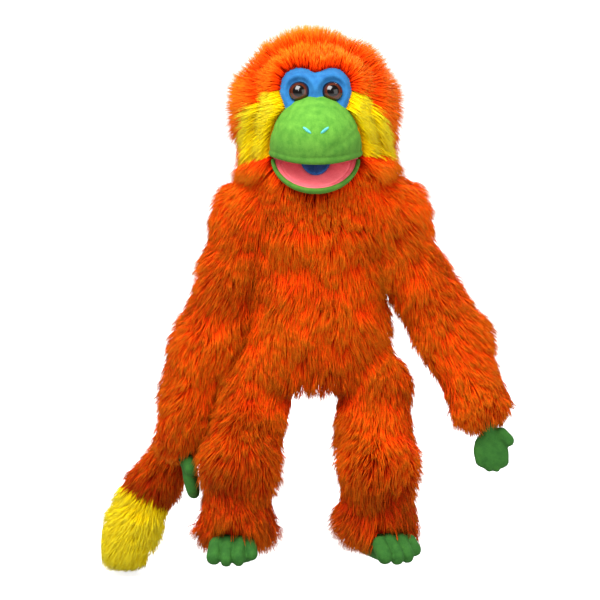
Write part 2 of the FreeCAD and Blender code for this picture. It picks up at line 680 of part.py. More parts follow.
def stuffed_length(node, start, end, reaches, radii):
    """A fur skin and the stuffing inside it, between two soft joints."""
    span = (end - start).Length - value(reaches[0]) - value(reaches[1])
    place = along(start, end, reaches[0])
    skin = sausage(node + "_skin", radii[0], radii[1], f"{span:.3f}", FUR_WALL)
    publish(node + "_skin", skin, place)
    less = f"{FUR_WALL} - Sizes.seam_gap"
    filling = sausage(node + "_stuffing", f"{radii[0]} - {less}", f"{radii[1]} - {less}", f"{span:.3f}")
    publish(node + "_stuffing", filling, place)


def seam_tab(node, centre):
    tab = doc.addObject("Part::Sphere", node)
    bind(tab, {"Radius": "Sizes.seam_tab_radius"})
    publish(node, tab, Placement(centre, Rotation()))


def pillow(name, halves, centre, inset="0"):
    """A box rounded over until only a narrow flat is left on its thinnest sides."""
    low = [f"({c}) - ({half}) + ({inset})" for c, half in zip(centre, halves)]
    high = [f"({c}) + ({half}) - ({inset})" for c, half in zip(centre, halves)]
    block = box(name + "_block", low, high)
    doc.recompute()
    rounded = doc.addObject("Part::Fillet", name)
    rounded.Base = block
    radius = 0.94 * min(value(f"({half}) - ({inset})") for half in halves)
    rounded.Edges = [(edge, radius, radius) for edge in range(1, 13)]
    return rounded


def finger(name, radius, span, base, direction):
    """A round-ended finger or toe that starts inside the palm or sole."""
    lobe = sausage(name, radius, radius, span)
    lobe.Placement = Placement(Vector(*[value(part) for part in base]), Rotation(UP, direction))
    return lobe


def make_hand(word, side, wrist, direction, turn):
    """A flat plush hand below its wrist: palm, four short fingers and a thumb."""
    name = word + "_hand"
    palm_halves = ("Sizes.palm_half_x", "Sizes.hand_half_thickness", "Sizes.palm_half_z")
    lobes = [pillow(name + "_palm", palm_halves, ("0", "0", "-Sizes.palm_half_z - Sizes.palm_drop"))]
    for step in (-1.5, -0.5, 0.5, 1.5):
        base = (f"{step} * Sizes.finger_pitch", "0", "-Sizes.finger_drop")
        span = f"Sizes.finger_length - 1.5 * {abs(step)}"
        lobes.append(finger(name + "_finger", "Sizes.finger_radius", span, base, UP * -1))
    thumb_base = (f"{side} * (Sizes.palm_half_x - Sizes.thumb_inset)", "0", "-Sizes.thumb_drop")
    thumb_lean = Vector(side * 0.8, 0, -0.6)
    lobes.append(finger(
        name + "_thumb", "Sizes.thumb_radius", "Sizes.thumb_length", thumb_base, thumb_lean
    ))
    hang = Rotation(UP * -1, direction)
    publish(name, fuse(name, *lobes), Placement(wrist, hang.multiply(Rotation(UP, turn))))


def sole_form(name, inset):
    halves = ("Sizes.foot_half_x", "Sizes.foot_half_y", "Sizes.foot_half_z")
    return pillow(name, halves, ("0", "-Sizes.sole_forward", "-Sizes.sole_drop"), inset)


def make_foot(word, ankle, turn):
    """A stuffed sole with four padded toes side by side at its front."""
    place = Placement(ankle, Rotation(UP, turn))
    lobes = []
    for step in (-1.5, -0.5, 0.5, 1.5):
        base = (f"{step} * Sizes.toe_pitch", "-Sizes.toe_forward", "-Sizes.toe_drop")
        span = f"Sizes.toe_length - 2 * {abs(step)}"
        lobes.append(finger(word + "_toe", "Sizes.toe_radius", span, base, FORWARD))
    outer = fuse(word + "_foot", sole_form(word + "_sole", "0"), *lobes)
    hollow = sole_form(word + "_sole_hollow", "Sizes.foot_padding")
    publish(word + "_foot_skin", cut(word + "_foot_skin", outer, hollow), place)
    filling = sole_form(word + "_sole_filling", "Sizes.foot_padding + Sizes.seam_gap")
    publish(word + "_foot_stuffing", filling, place)


def make_arm(word, side, joints, turn):
    shoulder, elbow, wrist = joints["shoulder"], joints["elbow"], joints["wrist"]
    seam_tab(word + "_shoulder_tab", shoulder)
    stuffed_length(
        word + "_upper_arm", shoulder, elbow, ("Sizes.shoulder_reach", "Sizes.elbow_reach"),
        ("Sizes.arm_radius", "Sizes.elbow_radius"),
    )
    stuffed_length(
        word + "_forearm", elbow, wrist, ("Sizes.elbow_reach", "Sizes.wrist_reach"),
        ("Sizes.elbow_radius", "Sizes.wrist_radius"),
    )
    lean = Vector(side * 0.02, -0.05, -1)
    make_hand(word, side, wrist, lean, turn)


def make_leg(word, joints, turn):
    hip, knee, ankle = joints["hip"], joints["knee"], joints["ankle"]
    seam_tab(word + "_hip_tab", hip)
    stuffed_length(
        word + "_thigh", hip, knee, ("Sizes.hip_reach", "Sizes.knee_reach"),
        ("Sizes.thigh_radius", "Sizes.knee_radius"),
    )
    stuffed_length(
        word + "_shin", knee, ankle, ("Sizes.knee_reach", "Sizes.ankle_reach"),
        ("Sizes.knee_radius", "Sizes.ankle_radius"),
    )
    make_foot(word, ankle, turn)


def make_tail():
    root, middle, tip = TAIL["root"], TAIL["middle"], TAIL["tip"]
    seam_tab("tail_tab", root)
    reaches = ("Sizes.tail_reach", "Sizes.tail_reach")
    stuffed_length("tail_base", root, middle, reaches, ("Sizes.tail_radius", "Sizes.tail_radius"))
    span = (tip - middle).Length - value("Sizes.tail_reach") - value("Sizes.tail_tip_radius")
    place = along(middle, tip, "Sizes.tail_reach")
    length = f"{span:.3f}"
    skin = sausage("tail_end_form", "Sizes.tail_radius", "Sizes.tail_tip_radius", length, FUR_WALL)
    split = f"{length} + Sizes.tail_tip_radius - Sizes.tail_tip_length"
    beyond = box("beyond_split", ("-50", "-50", split), ("50", "50", FAR))
    beyond_seam = box("beyond_seam", ("-50", "-50", f"{split} - Sizes.seam_gap"), ("50", "50", FAR))
    publish("tail_end_skin", cut("tail_end_skin", skin, beyond_seam), place)
    publish("tail_tip_skin", common("tail_tip_skin", skin, beyond), place)
    less = f"{FUR_WALL} - Sizes.seam_gap"
    filling = sausage(
        "tail_end_stuffing", f"Sizes.tail_radius - {less}", f"Sizes.tail_tip_radius - {less}", length
    )
    publish("tail_end_stuffing", filling, place)


# ---------------------------------------------------------------- checks and files

def check_document():
    for thing in doc.Objects:
        bad = {"Invalid", "Error"} & set(thing.State)
        if bad:
            raise RuntimeError(f"{thing.Label} is {bad}")
    for node, solid in nodes.items():
        if solid.Shape.isNull() or not solid.Shape.isValid() or not solid.Shape.Solids:
            raise RuntimeError(f"{node} has no valid solid")
    if len(nodes) > 60:
        raise RuntimeError("more than 60 sub-parts")


def write_parts():
    os.makedirs("parts", exist_ok=True)
    for node, solid in nodes.items():
        solid.Shape.exportStep(f"parts/{node}.step")


fill_sheet()
make_body()
make_neck()
make_head()
make_muzzle()
make_nostrils()
make_jaw()
make_eyes()
make_arm("left", 1, LEFT_ARM, 0)
make_arm("right", -1, RIGHT_ARM, 90)
make_leg("left", LEFT_LEG, 28)
make_leg("right", RIGHT_LEG, -4)
make_tail()
doc.recompute()
check_document()
write_parts()
print(len(nodes), "sub-parts")
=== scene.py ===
"""Looks of a long-haired plush monkey hand puppet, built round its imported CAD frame.

Lengths inside the script are in millimetres in the frame's own axes; meshes are made in metres.
"""
import json
import math

import bpy
import numpy as np
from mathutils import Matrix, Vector, kdtree


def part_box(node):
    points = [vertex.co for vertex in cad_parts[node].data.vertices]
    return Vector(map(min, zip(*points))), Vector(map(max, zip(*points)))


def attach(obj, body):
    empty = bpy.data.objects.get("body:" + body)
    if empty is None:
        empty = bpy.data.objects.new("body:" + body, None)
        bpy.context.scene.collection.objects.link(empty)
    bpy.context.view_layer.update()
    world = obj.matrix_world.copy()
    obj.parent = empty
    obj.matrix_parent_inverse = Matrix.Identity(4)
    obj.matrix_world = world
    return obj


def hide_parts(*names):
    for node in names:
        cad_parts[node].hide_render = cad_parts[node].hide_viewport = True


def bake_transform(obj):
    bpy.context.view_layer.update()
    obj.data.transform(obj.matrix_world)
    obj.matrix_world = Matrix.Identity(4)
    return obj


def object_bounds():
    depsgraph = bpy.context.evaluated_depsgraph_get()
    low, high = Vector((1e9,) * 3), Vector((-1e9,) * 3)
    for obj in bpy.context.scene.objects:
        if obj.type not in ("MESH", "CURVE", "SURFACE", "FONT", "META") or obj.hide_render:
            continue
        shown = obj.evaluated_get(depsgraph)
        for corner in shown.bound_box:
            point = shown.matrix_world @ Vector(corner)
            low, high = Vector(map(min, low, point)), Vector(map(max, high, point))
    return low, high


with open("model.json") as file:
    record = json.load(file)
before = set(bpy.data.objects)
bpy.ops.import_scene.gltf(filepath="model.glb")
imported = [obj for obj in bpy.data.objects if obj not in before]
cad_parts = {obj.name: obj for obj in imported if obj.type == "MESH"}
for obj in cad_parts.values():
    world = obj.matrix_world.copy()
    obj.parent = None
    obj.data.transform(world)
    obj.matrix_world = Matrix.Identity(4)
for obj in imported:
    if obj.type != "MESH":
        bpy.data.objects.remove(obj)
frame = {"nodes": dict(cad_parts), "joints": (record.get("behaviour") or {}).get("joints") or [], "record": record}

CAD_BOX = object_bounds()
MM = 0.001
UP = np.array([0.0, 0.0, 1.0])
DOWN = -UP


# ---------------------------------------------------------------- places taken from the frame

def pivot(joint):
    """A joint's centre, in millimetres."""
    found = [item for item in frame["joints"] if item["name"] == joint]
    return np.array(found[0]["pos_m"]) / MM


def node_box(node):
    low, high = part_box(node)
    return np.array(low) / MM, np.array(high) / MM


def unit(v):
    v = np.asarray(v, float)
    return v / np.maximum(np.linalg.norm(v, axis=-1, keepdims=True), 1e-9)


SIDES = {"left": 1.0, "right": -1.0}
ARM = {w: [pivot(f"{w}_shoulder_swing"), pivot(f"{w}_elbow"), pivot(f"{w}_wrist")] for w in SIDES}
LEG = {w: [pivot(f"{w}_hip_swing"), pivot(f"{w}_knee"), pivot(f"{w}_ankle")] for w in SIDES}
TAIL_ROOT = pivot("tail_swing")
TAIL_MIDDLE = pivot("tail_curl")
JAW_HINGE = pivot("jaw_open")
NECK_TURN = pivot("neck_turn")
NECK_NOD = pivot("head_nod")
BODY_LOW, BODY_HIGH = node_box("body_skin")
FOAM_HIGH = node_box("head_foam")[1]
SLEEVE_RADIUS = node_box("hand_sleeve")[1][0]
MUZZLE_LOW = node_box("muzzle_cover")[0]
LIP_HEIGHT = MUZZLE_LOW[2]
HEAD_CENTRE = np.array([0.0, 0.0, FOAM_HIGH[2] - FOAM_HIGH[1]])
TIP_LOW, TIP_HIGH = node_box("tail_tip_skin")
TAIL_TIP = np.array([TIP_LOW[0] + 16.0, 0.5 * (TIP_LOW[1] + TIP_HIGH[1]), TIP_LOW[2] + 12.0])
# the tail's end bows out from the straight line between the curl joint and the tip
TAIL_BOW = TAIL_MIDDLE + 0.5 * (TAIL_TIP - TAIL_MIDDLE) + [-14.0, 0, -2.0]
DOME_REACH = 3.56


def eye_plate(word):
    """The middle of an eye's flat back, a dome's reach in front of the dome's rear edge."""
    low, high = node_box(f"{word}_eye_dome")
    return np.array([0.5 * (low[0] + high[0]), high[1] - DOME_REACH, 0.5 * (low[2] + high[2])])


EYE_PLATE = {word: eye_plate(word) for word in SIDES}


# ---------------------------------------------------------------- distances, in millimetres

def smoothstep(value, low, high):
    t = np.clip((value - low) / (high - low), 0, 1)
    return t * t * (3 - 2 * t)


def ellipsoid_distance(p, centre, halves):
    q = p - centre
    near = np.linalg.norm(q / halves, axis=1)
    slope = np.linalg.norm(q / np.square(halves), axis=1)
    return near * (near - 1) / np.maximum(slope, 1e-6)


def oval_distance(x, u, half_x, half_u):
    near = np.hypot(x / half_x, u / half_u)
    slope = np.hypot(x / half_x ** 2, u / half_u ** 2)
    return near * (near - 1) / np.maximum(slope, 1e-6)


def capsule_distance(p, a, b, radius):
    a, b = np.asarray(a, float), np.asarray(b, float)
    t = np.clip(((p - a) @ (b - a)) / ((b - a) @ (b - a)), 0, 1)
    return np.linalg.norm(p - a - t[:, None] * (b - a), axis=1) - radius


def rounded_box_distance(p, centre, halves, radius):
    q = np.abs(p - centre) - (np.asarray(halves) - radius)
    outside = np.linalg.norm(np.maximum(q, 0), axis=1)
    return outside + np.minimum(q.max(1), 0) - radius


def soft_min(rows, softness):
    rows = np.stack(rows)
    nearest = rows.min(0)
    return nearest - softness * np.log(np.exp((nearest - rows) / softness).sum(0))


def soft_max(rows, softness):
    return -soft_min([-row for row in rows], softness)


def groove(offset, width, depth):
    return depth * np.exp(-np.square(offset / width))


# ---------------------------------------------------------------- the form under the fur

BLEND_SOFTNESS = 7.0
COMB_SOFTNESS = 20.0
HEAD_HALVES = np.array([72.0, 67.0, 69.0])
TORSO_ROWS = np.array([
    # share of height, share of half width, share of half depth
    [0.00, 0.80, 0.80],
    [0.06, 0.90, 0.90],
    [0.30, 1.06, 1.00],
    [0.58, 1.02, 0.98],
    [0.80, 0.94, 0.90],
    [1.00, 0.80, 0.78],
])


def bar(name, start, end, radius_start, radius_end, comb=None):
    """A tapering round bar of the body; comb is the way its fur lies, by default along the bar."""
    start, end = np.asarray(start, float), np.asarray(end, float)
    return {
        "name": name, "a": start, "b": end, "ra": radius_start, "rb": radius_end,
        "comb": unit(end - start if comb is None else comb),
    }


# The arms and haunches differ a little from side to side: how far the yoke rises and reaches past
# the shoulder, how far the arm is tucked in, how far the forearm stops short of the wrist, and radii.
BUILD = {
    "left": {"rise": 10, "reach": 4, "tuck": 0.0, "short": 26, "elbow": 26, "fore": (26, 21), "haunch": 30},
    "right": {"rise": 8, "reach": 10, "tuck": 9.0, "short": 16, "elbow": 24, "fore": (23, 18), "haunch": 36},
}


def arm_bars(word):
    shoulder, elbow, wrist = ARM[word]
    side, build = SIDES[word], BUILD[word]
    tuck = np.array([build["tuck"], 0, 0])
    yoke_start = [side * 26, 2, shoulder[2] + 27 + build["rise"]]
    yoke_end = shoulder + [build["reach"], 0, build["rise"]]
    cuff = wrist - unit(wrist - elbow) * build["short"] - tuck
    return [
        bar(f"{word}_yoke", yoke_start, yoke_end, 42, 34, [side * 0.55, 0, -0.84]),
        bar(f"{word}_upper_arm", shoulder + tuck, elbow + tuck, 28, build["elbow"]),
        bar(f"{word}_forearm", elbow + 0.6 * tuck, cuff, *build["fore"]),
    ]


def leg_bars(word):
    hip, knee, ankle = LEG[word]
    side = SIDES[word]
    haunch_start, haunch_way = [side * 38, -8, hip[2] + 44], [side * 0.2, -0.2, -0.95]
    anklet = ankle - unit(ankle - knee) * 14
    return [
        bar(f"{word}_haunch", haunch_start, hip + [0, 0, 6], BUILD[word]["haunch"], 29, haunch_way),
        bar(f"{word}_thigh", hip, knee, 30, 29, unit(knee - hip) + DOWN),
        bar(f"{word}_shin", knee, anklet, 29, 28, unit(ankle - knee) + DOWN),
    ]


def tail_bars():
    stub_start = [TAIL_ROOT[0], 40, TAIL_ROOT[2] + 6]
    return [
        bar("tail_stub", stub_start, TAIL_ROOT, 18, 14, TAIL_MIDDLE - TAIL_ROOT),
        bar("tail_base", TAIL_ROOT, TAIL_MIDDLE, 15, 16),
        bar("tail_end", TAIL_MIDDLE, TAIL_BOW, 16, 18),
        bar("tail_end", TAIL_BOW, TAIL_TIP + [-6, 0, 0], 18, 19),
    ]


def body_bars():
    bars = [bar("neck", [0, 0, BODY_HIGH[2] - 10], [0, 4, HEAD_CENTRE[2] - 42], 66, 69, DOWN)]
    for word in SIDES:
        bars += arm_bars(word) + leg_bars(word)
    return bars + tail_bars()


BARS = body_bars()
BAR_NAMES = ["torso", "head"] + [item["name"] for item in BARS]
COMBS = np.array([DOWN, UP] + [item["comb"] for item in BARS])
IS_FOREARM = np.array(["arm" in name for name in BAR_NAMES])
IS_LOWER = np.array([any(k in name for k in ("haunch", "thigh", "shin", "tail")) for name in BAR_NAMES])


def torso_distance(p):
    height = BODY_HIGH[2] - BODY_LOW[2]
    share = np.clip((p[:, 2] - BODY_LOW[2]) / height, 0, 1)
    half_x = BODY_HIGH[0] * np.interp(share, TORSO_ROWS[:, 0], TORSO_ROWS[:, 1])
    half_y = BODY_HIGH[1] * np.interp(share, TORSO_ROWS[:, 0], TORSO_ROWS[:, 2])
    ring = np.hypot(p[:, 0] / half_x, p[:, 1] / half_y)
    out = (ring - 1) * np.minimum(half_x, half_y)
    over = np.maximum(BODY_LOW[2] + 6 - p[:, 2], p[:, 2] - BODY_HIGH[2])
    return np.where(over > 0, np.hypot(np.maximum(out + 6, 0), over) - 6, out)


def head_distance(p):
    return ellipsoid_distance(p, HEAD_CENTRE, HEAD_HALVES)


def bar_distance(p, item):
    axis = item["b"] - item["a"]
    along = np.clip(((p - item["a"]) @ axis) / (axis @ axis), 0, 1)
    radius = item["ra"] + along * (item["rb"] - item["ra"])
    return np.linalg.norm(p - item["a"] - along[:, None] * axis, axis=1) - radius


def all_distances(p):
    return np.stack([torso_distance(p), head_distance(p)] + [bar_distance(p, item) for item in BARS])


def form_distance(p):
    """Signed distance to the soft union of every part of the body."""
    return soft_min(all_distances(p), BLEND_SOFTNESS)


def form_normal(p):
    step = 0.5
    slopes = [form_distance(p + step * axis) - form_distance(p - step * axis) for axis in np.eye(3)]
    return unit(np.stack(slopes, 1))


def surface_net(distance, low, high, step):
    """Points and quads of the surface where a distance function is zero."""
    axes = [np.arange(a, b + step, step) for a, b in zip(low, high)]
    grid = np.stack(np.meshgrid(*axes, indexing="ij"), -1)
    shape = grid.shape[:3]
    field = distance(grid.reshape(-1, 3)).reshape(shape)
    cells = tuple(n - 1 for n in shape)
    corners = [(i, j, k) for i in (0, 1) for j in (0, 1) for k in (0, 1)]

    def corner(offset):
        return field[tuple(slice(o, o + n) for o, n in zip(offset, cells))]

    total = np.zeros(cells + (3,))
    count = np.zeros(cells)
    for offset in corners:
        for axis in range(3):
            if offset[axis]:
                continue
            other = tuple(o + (a == axis) for a, o in enumerate(offset))
            f0, f1 = corner(offset), corner(other)
            crossed = (f0 < 0) != (f1 < 0)
            share = np.where(crossed, f0 / np.where(f0 == f1, 1, f0 - f1), 0)
            place = np.broadcast_to(np.array(offset, float), cells + (3,)).copy()
            place[..., axis] += share
            total += np.where(crossed[..., None], place, 0)
            count += crossed
    used = count > 0
    index = -np.ones(cells, int)
    index[used] = np.arange(used.sum())
    base = np.stack(np.nonzero(used), 1)
    points = np.array(low) + step * (base + total[used] / count[used][:, None])
    quads = []
    for axis in range(3):
        u, v = (axis + 1) % 3, (axis + 2) % 3
        inner = [slice(0, n - 1) for n in shape]
        inner[u] = slice(1, shape[u] - 1)
        inner[v] = slice(1, shape[v] - 1)
        ahead = list(inner)
        ahead[axis] = slice(1, shape[axis])
        f0, f1 = field[tuple(inner)], field[tuple(ahead)]
        cross = np.stack(np.nonzero((f0 < 0) != (f1 < 0)), 1)
        start = cross + np.array([1 if a != axis else 0 for a in range(3)])
        ring = []
        for du, dv in ((-1, -1), (0, -1), (0, 0), (-1, 0)):
            cell = start.copy()
            cell[:, u] += du
            cell[:, v] += dv
            ring.append(index[tuple(cell.T)])
        ring = np.stack(ring, 1)
        outward = f0[tuple(cross.T)] < 0
        ring[~outward] = ring[~outward][:, ::-1]
        quads.append(ring)
    return points, np.concatenate(quads)


# ---------------------------------------------------------------- the face's spaces in the fur

JAW_ANGLE = math.radians(30)
JAW_DROP = math.radians(22)
JAW_SPARE = math.radians(4)
JAW_HALF_X, JAW_LENGTH, CHIN_DEPTH = 51.0, 65.0, 20.0
MOUTH_CENTRE = np.array([0.0, JAW_HINGE[1] - 6.0, JAW_HINGE[2] + 11.0])
MOUTH_HALVES = np.array([54.0, 62.0, 64.0])
LOBE_HEIGHT = EYE_PLATE["left"][2] + 4.0
MASK_BOTTOM = 300.0


def jaw_frame(p):
    """Across, forward along the jaw, and up from its plate."""
    q = p - JAW_HINGE
    forward = -q[:, 1] * math.cos(JAW_ANGLE) - q[:, 2] * math.sin(JAW_ANGLE)
    up = -q[:, 1] * math.sin(JAW_ANGLE) + q[:, 2] * math.cos(JAW_ANGLE)
    return q[:, 0], forward, up


def under_muzzle(p, grow=0.0):
    """Points under the muzzle's padded cover."""
    near = (((p - MOUTH_CENTRE) / (MOUTH_HALVES + grow)) ** 2).sum(1) < 1
    return near & (p[:, 2] > LIP_HEIGHT) & (p[:, 1] < 0)


def in_jaw_sweep(p, spare):
    """Points above the mouth's floor when the jaw is fully open, and below the palate."""
    x, forward, up = jaw_frame(p)
    near = np.hypot(x / JAW_HALF_X, np.hypot(forward, up) / JAW_LENGTH) < 1
    above = up > -forward * math.tan(JAW_DROP + spare)
    return near & (forward > 2) & above & (p[:, 2] < LIP_HEIGHT + 2)


def in_muzzle(p, grow=0.0):
    """Points taken up by the muzzle, the open mouth or the jaw."""
    x, forward, up = jaw_frame(p)
    reach = np.hypot(x / (JAW_HALF_X + grow), forward / (JAW_LENGTH + grow))
    chin = np.hypot(reach, up / (CHIN_DEPTH + grow)) < 1
    gap = (reach < 1) & (up > 0) & (p[:, 2] < LIP_HEIGHT + 2)
    return under_muzzle(p, grow) | ((chin | gap) & (forward > 2) & (p[:, 1] < 0))


def mask_outline(p):
    """Signed distance, seen from the front, to the mask's edge: two round brows over a narrower nose."""
    x, z = np.abs(p[:, 0]), p[:, 2]
    lobe = np.hypot(x - 18.5, z - LOBE_HEIGHT) - 22.5
    lower = np.maximum(x - 34.5 - 0.26 * (z - 316), np.maximum(z - LOBE_HEIGHT + 3, MASK_BOTTOM - z))
    between = np.maximum(x - 15, np.maximum(z - LOBE_HEIGHT - 17.5, MASK_BOTTOM - z))
    return soft_min([lobe, lower, between], 2.4)


def in_mask(p, grow=0.0):
    return (mask_outline(p) < grow) & (p[:, 1] < 0)


def cheek_band(p):
    """Distance from the line that each yellow cheek grows along, beside the mask and the muzzle."""
    start = np.array([43.0, 332.0])
    end = np.array([61.0, 283.0])
    q = np.stack([np.abs(p[:, 0]), p[:, 2]], 1) - start
    t = np.clip(q @ (end - start) / ((end - start) @ (end - start)), 0, 1)
    return np.linalg.norm(q - t[:, None] * (end - start), axis=1) - 9 - 8 * t


def in_cheek(p):
    inside = (np.abs(p[:, 0]) < 62 - 0.28 * (p[:, 2] - 266)) & (p[:, 2] < 334) & (p[:, 2] > 274)
    return ((cheek_band(p) < 0) | inside) & (p[:, 1] < 4)


# ---------------------------------------------------------------- regions of the fur

# Each limb: its joints; the parts it grows from; its fur from the body out; the bodies they ride on;
# where along the limb its first two pieces of fur end (back, cap, top), and how far the third goes past
# the elbow or knee; and how near the first joint the first piece stays.
LIMBS = (
    (ARM, ("yoke", "upper_arm", "forearm"), ("shoulder", "armpit", "elbow", "forearm"),
     ("shoulder", "upper_arm", "forearm"), (-14.0, 12.0, 48.0), 42.0, 40),
    (LEG, ("haunch", "thigh", "shin"), ("hip", "thigh", "knee", "shin"),
     ("hip", "thigh", "shin"), (-10.0, 14.0, 46.0), 40.0, 38),
)
TAIL_TURN, TAIL_CAP, PAST_CURL, YELLOW_LENGTH = 10.0, 34.0, 36.0, 64.0


def along_from(p, start, end):
    return (p - start) @ unit(end - start)


def name_limb(region, label, p, word, joints, parts, fur, _, spans, past, reach):
    """Mark the points of one arm or leg with the names of its four pieces of fur."""
    first, second, third = joints[word]
    root, upper, lower = [label == f"{word}_{part}" for part in parts]
    names = [f"{word}_{name}" for name in fur]
    back, cap, top = spans
    s = along_from(p, first, second)
    near = np.linalg.norm(p - first, axis=1) < reach
    region[(upper | (near & root)) & (s > back) & (s <= cap)] = names[0]
    region[upper & (s > cap)] = names[1]
    region[upper & (s > top)] = names[2]
    region[lower] = names[2]
    region[lower & (along_from(p, second, third) > past)] = names[3]


def region_names(p):
    """The fur piece that each surface point belongs to."""
    rows = all_distances(p)
    label = np.array(BAR_NAMES)[rows.argmin(0)]
    region = np.full(len(p), "torso", dtype=object)
    low_neck, high_neck = NECK_TURN[2] - 16, NECK_TURN[2] + 6
    throat = NECK_NOD[2] + 28
    middle = np.isin(label, ["torso", "neck", "head", "left_yoke", "right_yoke"])
    central = middle & (np.hypot(p[:, 0], p[:, 1]) < 92)
    region[central & (p[:, 2] > low_neck) & (np.abs(p[:, 0]) < 60)] = "collar"
    region[central & (p[:, 2] > high_neck)] = "nape"
    region[central & (p[:, 2] > throat)] = "head"
    for word in SIDES:
        for limb in LIMBS:
            name_limb(region, label, p, word, *limb)
    s = along_from(p, TAIL_ROOT, TAIL_MIDDLE)
    tail = np.isin(label, ["tail_base", "tail_stub"])
    region[tail & (s > -8)] = "tail_root"
    region[tail & (s > TAIL_TURN)] = "tail_cap"
    region[(label == "tail_base") & (s > TAIL_CAP)] = "tail_curl"
    end = label == "tail_end"
    s = along_from(p, TAIL_MIDDLE, TAIL_TIP)
    region[end] = "tail_curl"
    region[end & (s > PAST_CURL)] = "tail_end"
    region[end & (s > np.linalg.norm(TAIL_TIP - TAIL_MIDDLE) - YELLOW_LENGTH)] = "tail_tip"
    half = np.where(p[:, 0] >= 0, "left", "right")
    front = np.where(p[:, 1] < 0, "chest_", "back_")
    body = region == "torso"
    region[body] = (front.astype(object) + half.astype(object))[body]
    head = region == "head"
    region[head & (p[:, 1] >= 6)] = "head_back"
    region[head & (p[:, 1] < 6)] = "head_front"
    region[head & in_cheek(p)] = "cheeks"
    return region


# ---------------------------------------------------------------- strands

def smooth_noise(p, size, seed, count=3):
    """Cheap smooth vector noise of about unit size, the same on every run."""
    rng = np.random.default_rng(seed)
    total = np.zeros((len(p), count))
    for _ in range(5):
        waves = rng.normal(size=(3, count)) * (2 * math.pi / size) * 0.6
        total += np.sin(p @ waves + rng.uniform(0, 2 * math.pi, count))
    return total / 2.2


def scatter(points, quads, density, rng):
    """Random places on the quads, density per square millimetre."""
    tris = np.concatenate([quads[:, [0, 1, 2]], quads[:, [0, 2, 3]]])
    a, b, c = points[tris[:, 0]], points[tris[:, 1]], points[tris[:, 2]]
    area = 0.5 * np.linalg.norm(np.cross(b - a, c - a), axis=1)
    count = int(area.sum() * density)
    pick = rng.choice(len(tris), count, p=area / area.sum())
    r1, r2 = np.sqrt(rng.random(count)), rng.random(count)
    w0, w1, w2 = 1 - r1, r1 * (1 - r2), r1 * r2
    return w0[:, None] * a[pick] + w1[:, None] * b[pick] + w2[:, None] * c[pick]


def nearest_index(targets, queries):
    tree = kdtree.KDTree(len(targets))
    for i, point in enumerate(targets):
        tree.insert(point, i)
    tree.balance()
    return np.array([tree.find(point)[1] for point in queries])


RINGS = 3
CLUMP_SHARE = 0.06
# half the width of a strand in the surface coordinates
UV_HALF = 0.006


def strand_paths(root, normal, comb, length, lift, droop, rng):
    """Centre lines of strands, shape (count, RINGS + 1, 3): they rise, lean along comb and droop."""
    steps = np.linspace(0, 1, RINGS + 1)
    wander = unit(smooth_noise(root, 46, 11)) * 0.30 + rng.normal(size=root.shape) * 0.13
    paths = [root]
    here = root
    for k in range(RINGS):
        t = (steps[k] + steps[k + 1]) / 2
        rise = (lift * (1 - 0.75 * t))[:, None]
        way = unit(normal * rise + comb * (1 - 0.4 * rise) + DOWN * (droop * t) + wander * (0.6 + 0.6 * t))
        here = here + way * (length / RINGS)[:, None]
        paths.append(here)
    return np.stack(paths, 1)


def clumped(paths, strength, rng):
    """Draw neighbouring strands together towards their tips, in pointed locks."""
    count = len(paths)
    leaders = rng.choice(count, max(1, int(count * CLUMP_SHARE)), replace=False)
    mine = leaders[nearest_index(paths[leaders, 0], paths[:, 0])]
    pull = strength * np.linspace(0, 1, RINGS + 1)[None, :, None] ** 1.4
    pull = pull * rng.uniform(0.45, 1.2, (count, 1, 1))
    return paths + (paths[mine] - paths) * pull


def keep_outside(paths, clearance):
    """Push the free points of the strands out of the body's form."""
    free = paths[:, 1:].reshape(-1, 3)
    inside = form_distance(free) < clearance
    bad = free[inside]
    push = clearance - form_distance(bad)
    free[inside] = bad + form_normal(bad) * push[:, None]
    paths[:, 1:] = free.reshape(paths[:, 1:].shape)
    return paths


def strand_mesh(paths, radius, tint, rng):
    """Closed three-sided tapering tubes along the paths: points, faces and surface coordinates."""
    count = len(paths)
    way = unit(np.diff(paths, axis=1))
    way = np.concatenate([way[:, :1], way], 1)[:, :RINGS]
    side = unit(np.cross(way, unit(rng.normal(size=(count, 1, 3)))))
    other = np.cross(way, side)
    taper = np.array([1.0, 0.92, 0.66])[None, :, None, None] * radius[:, None, None, None]
    angle = np.arange(3) * 2 * math.pi / 3
    cosine, sine = np.cos(angle)[None, None, :, None], np.sin(angle)[None, None, :, None]
    ring = side[:, :, None] * cosine + other[:, :, None] * sine
    points = paths[:, :RINGS, None] + ring * taper
    points = np.concatenate([points.reshape(count, -1, 3), paths[:, RINGS:]], 1)
    per = 3 * RINGS + 1
    quads, quad_v, quad_u = [], [], []
    for k in range(RINGS - 1):
        for j in range(3):
            j2 = (j + 1) % 3
            quads.append([3 * k + j, 3 * k + j2, 3 * k + 3 + j2, 3 * k + 3 + j])
            quad_v.append([k, k, k + 1, k + 1])
            quad_u.append([-1, 1, 1, -1])
    tris, tri_v, tri_u = [[0, 2, 1]], [[0, 0, 0]], [[-1, 1, 0]]
    last = 3 * (RINGS - 1)
    for j in range(3):
        tris.append([last + j, last + (j + 1) % 3, per - 1])
        tri_v.append([RINGS - 1, RINGS - 1, RINGS])
        tri_u.append([-1, 1, 0])
    offset = (np.arange(count) * per)[:, None, None]
    all_quads = (np.array(quads)[None] + offset).reshape(-1, 4)
    all_tris = (np.array(tris)[None] + offset).reshape(-1, 3)

    def coordinates(u_sign, v_level):
        u = tint[:, None, None] + UV_HALF * np.array(u_sign)[None]
        v = np.broadcast_to(0.04 + 0.92 * np.array(v_level)[None] / RINGS, u.shape)
        return np.stack([u, v], -1).reshape(-1, 2)

    points = points.reshape(-1, 3)
    return points, all_quads, all_tris, coordinates(quad_u, quad_v), coordinates(tri_u, tri_v)


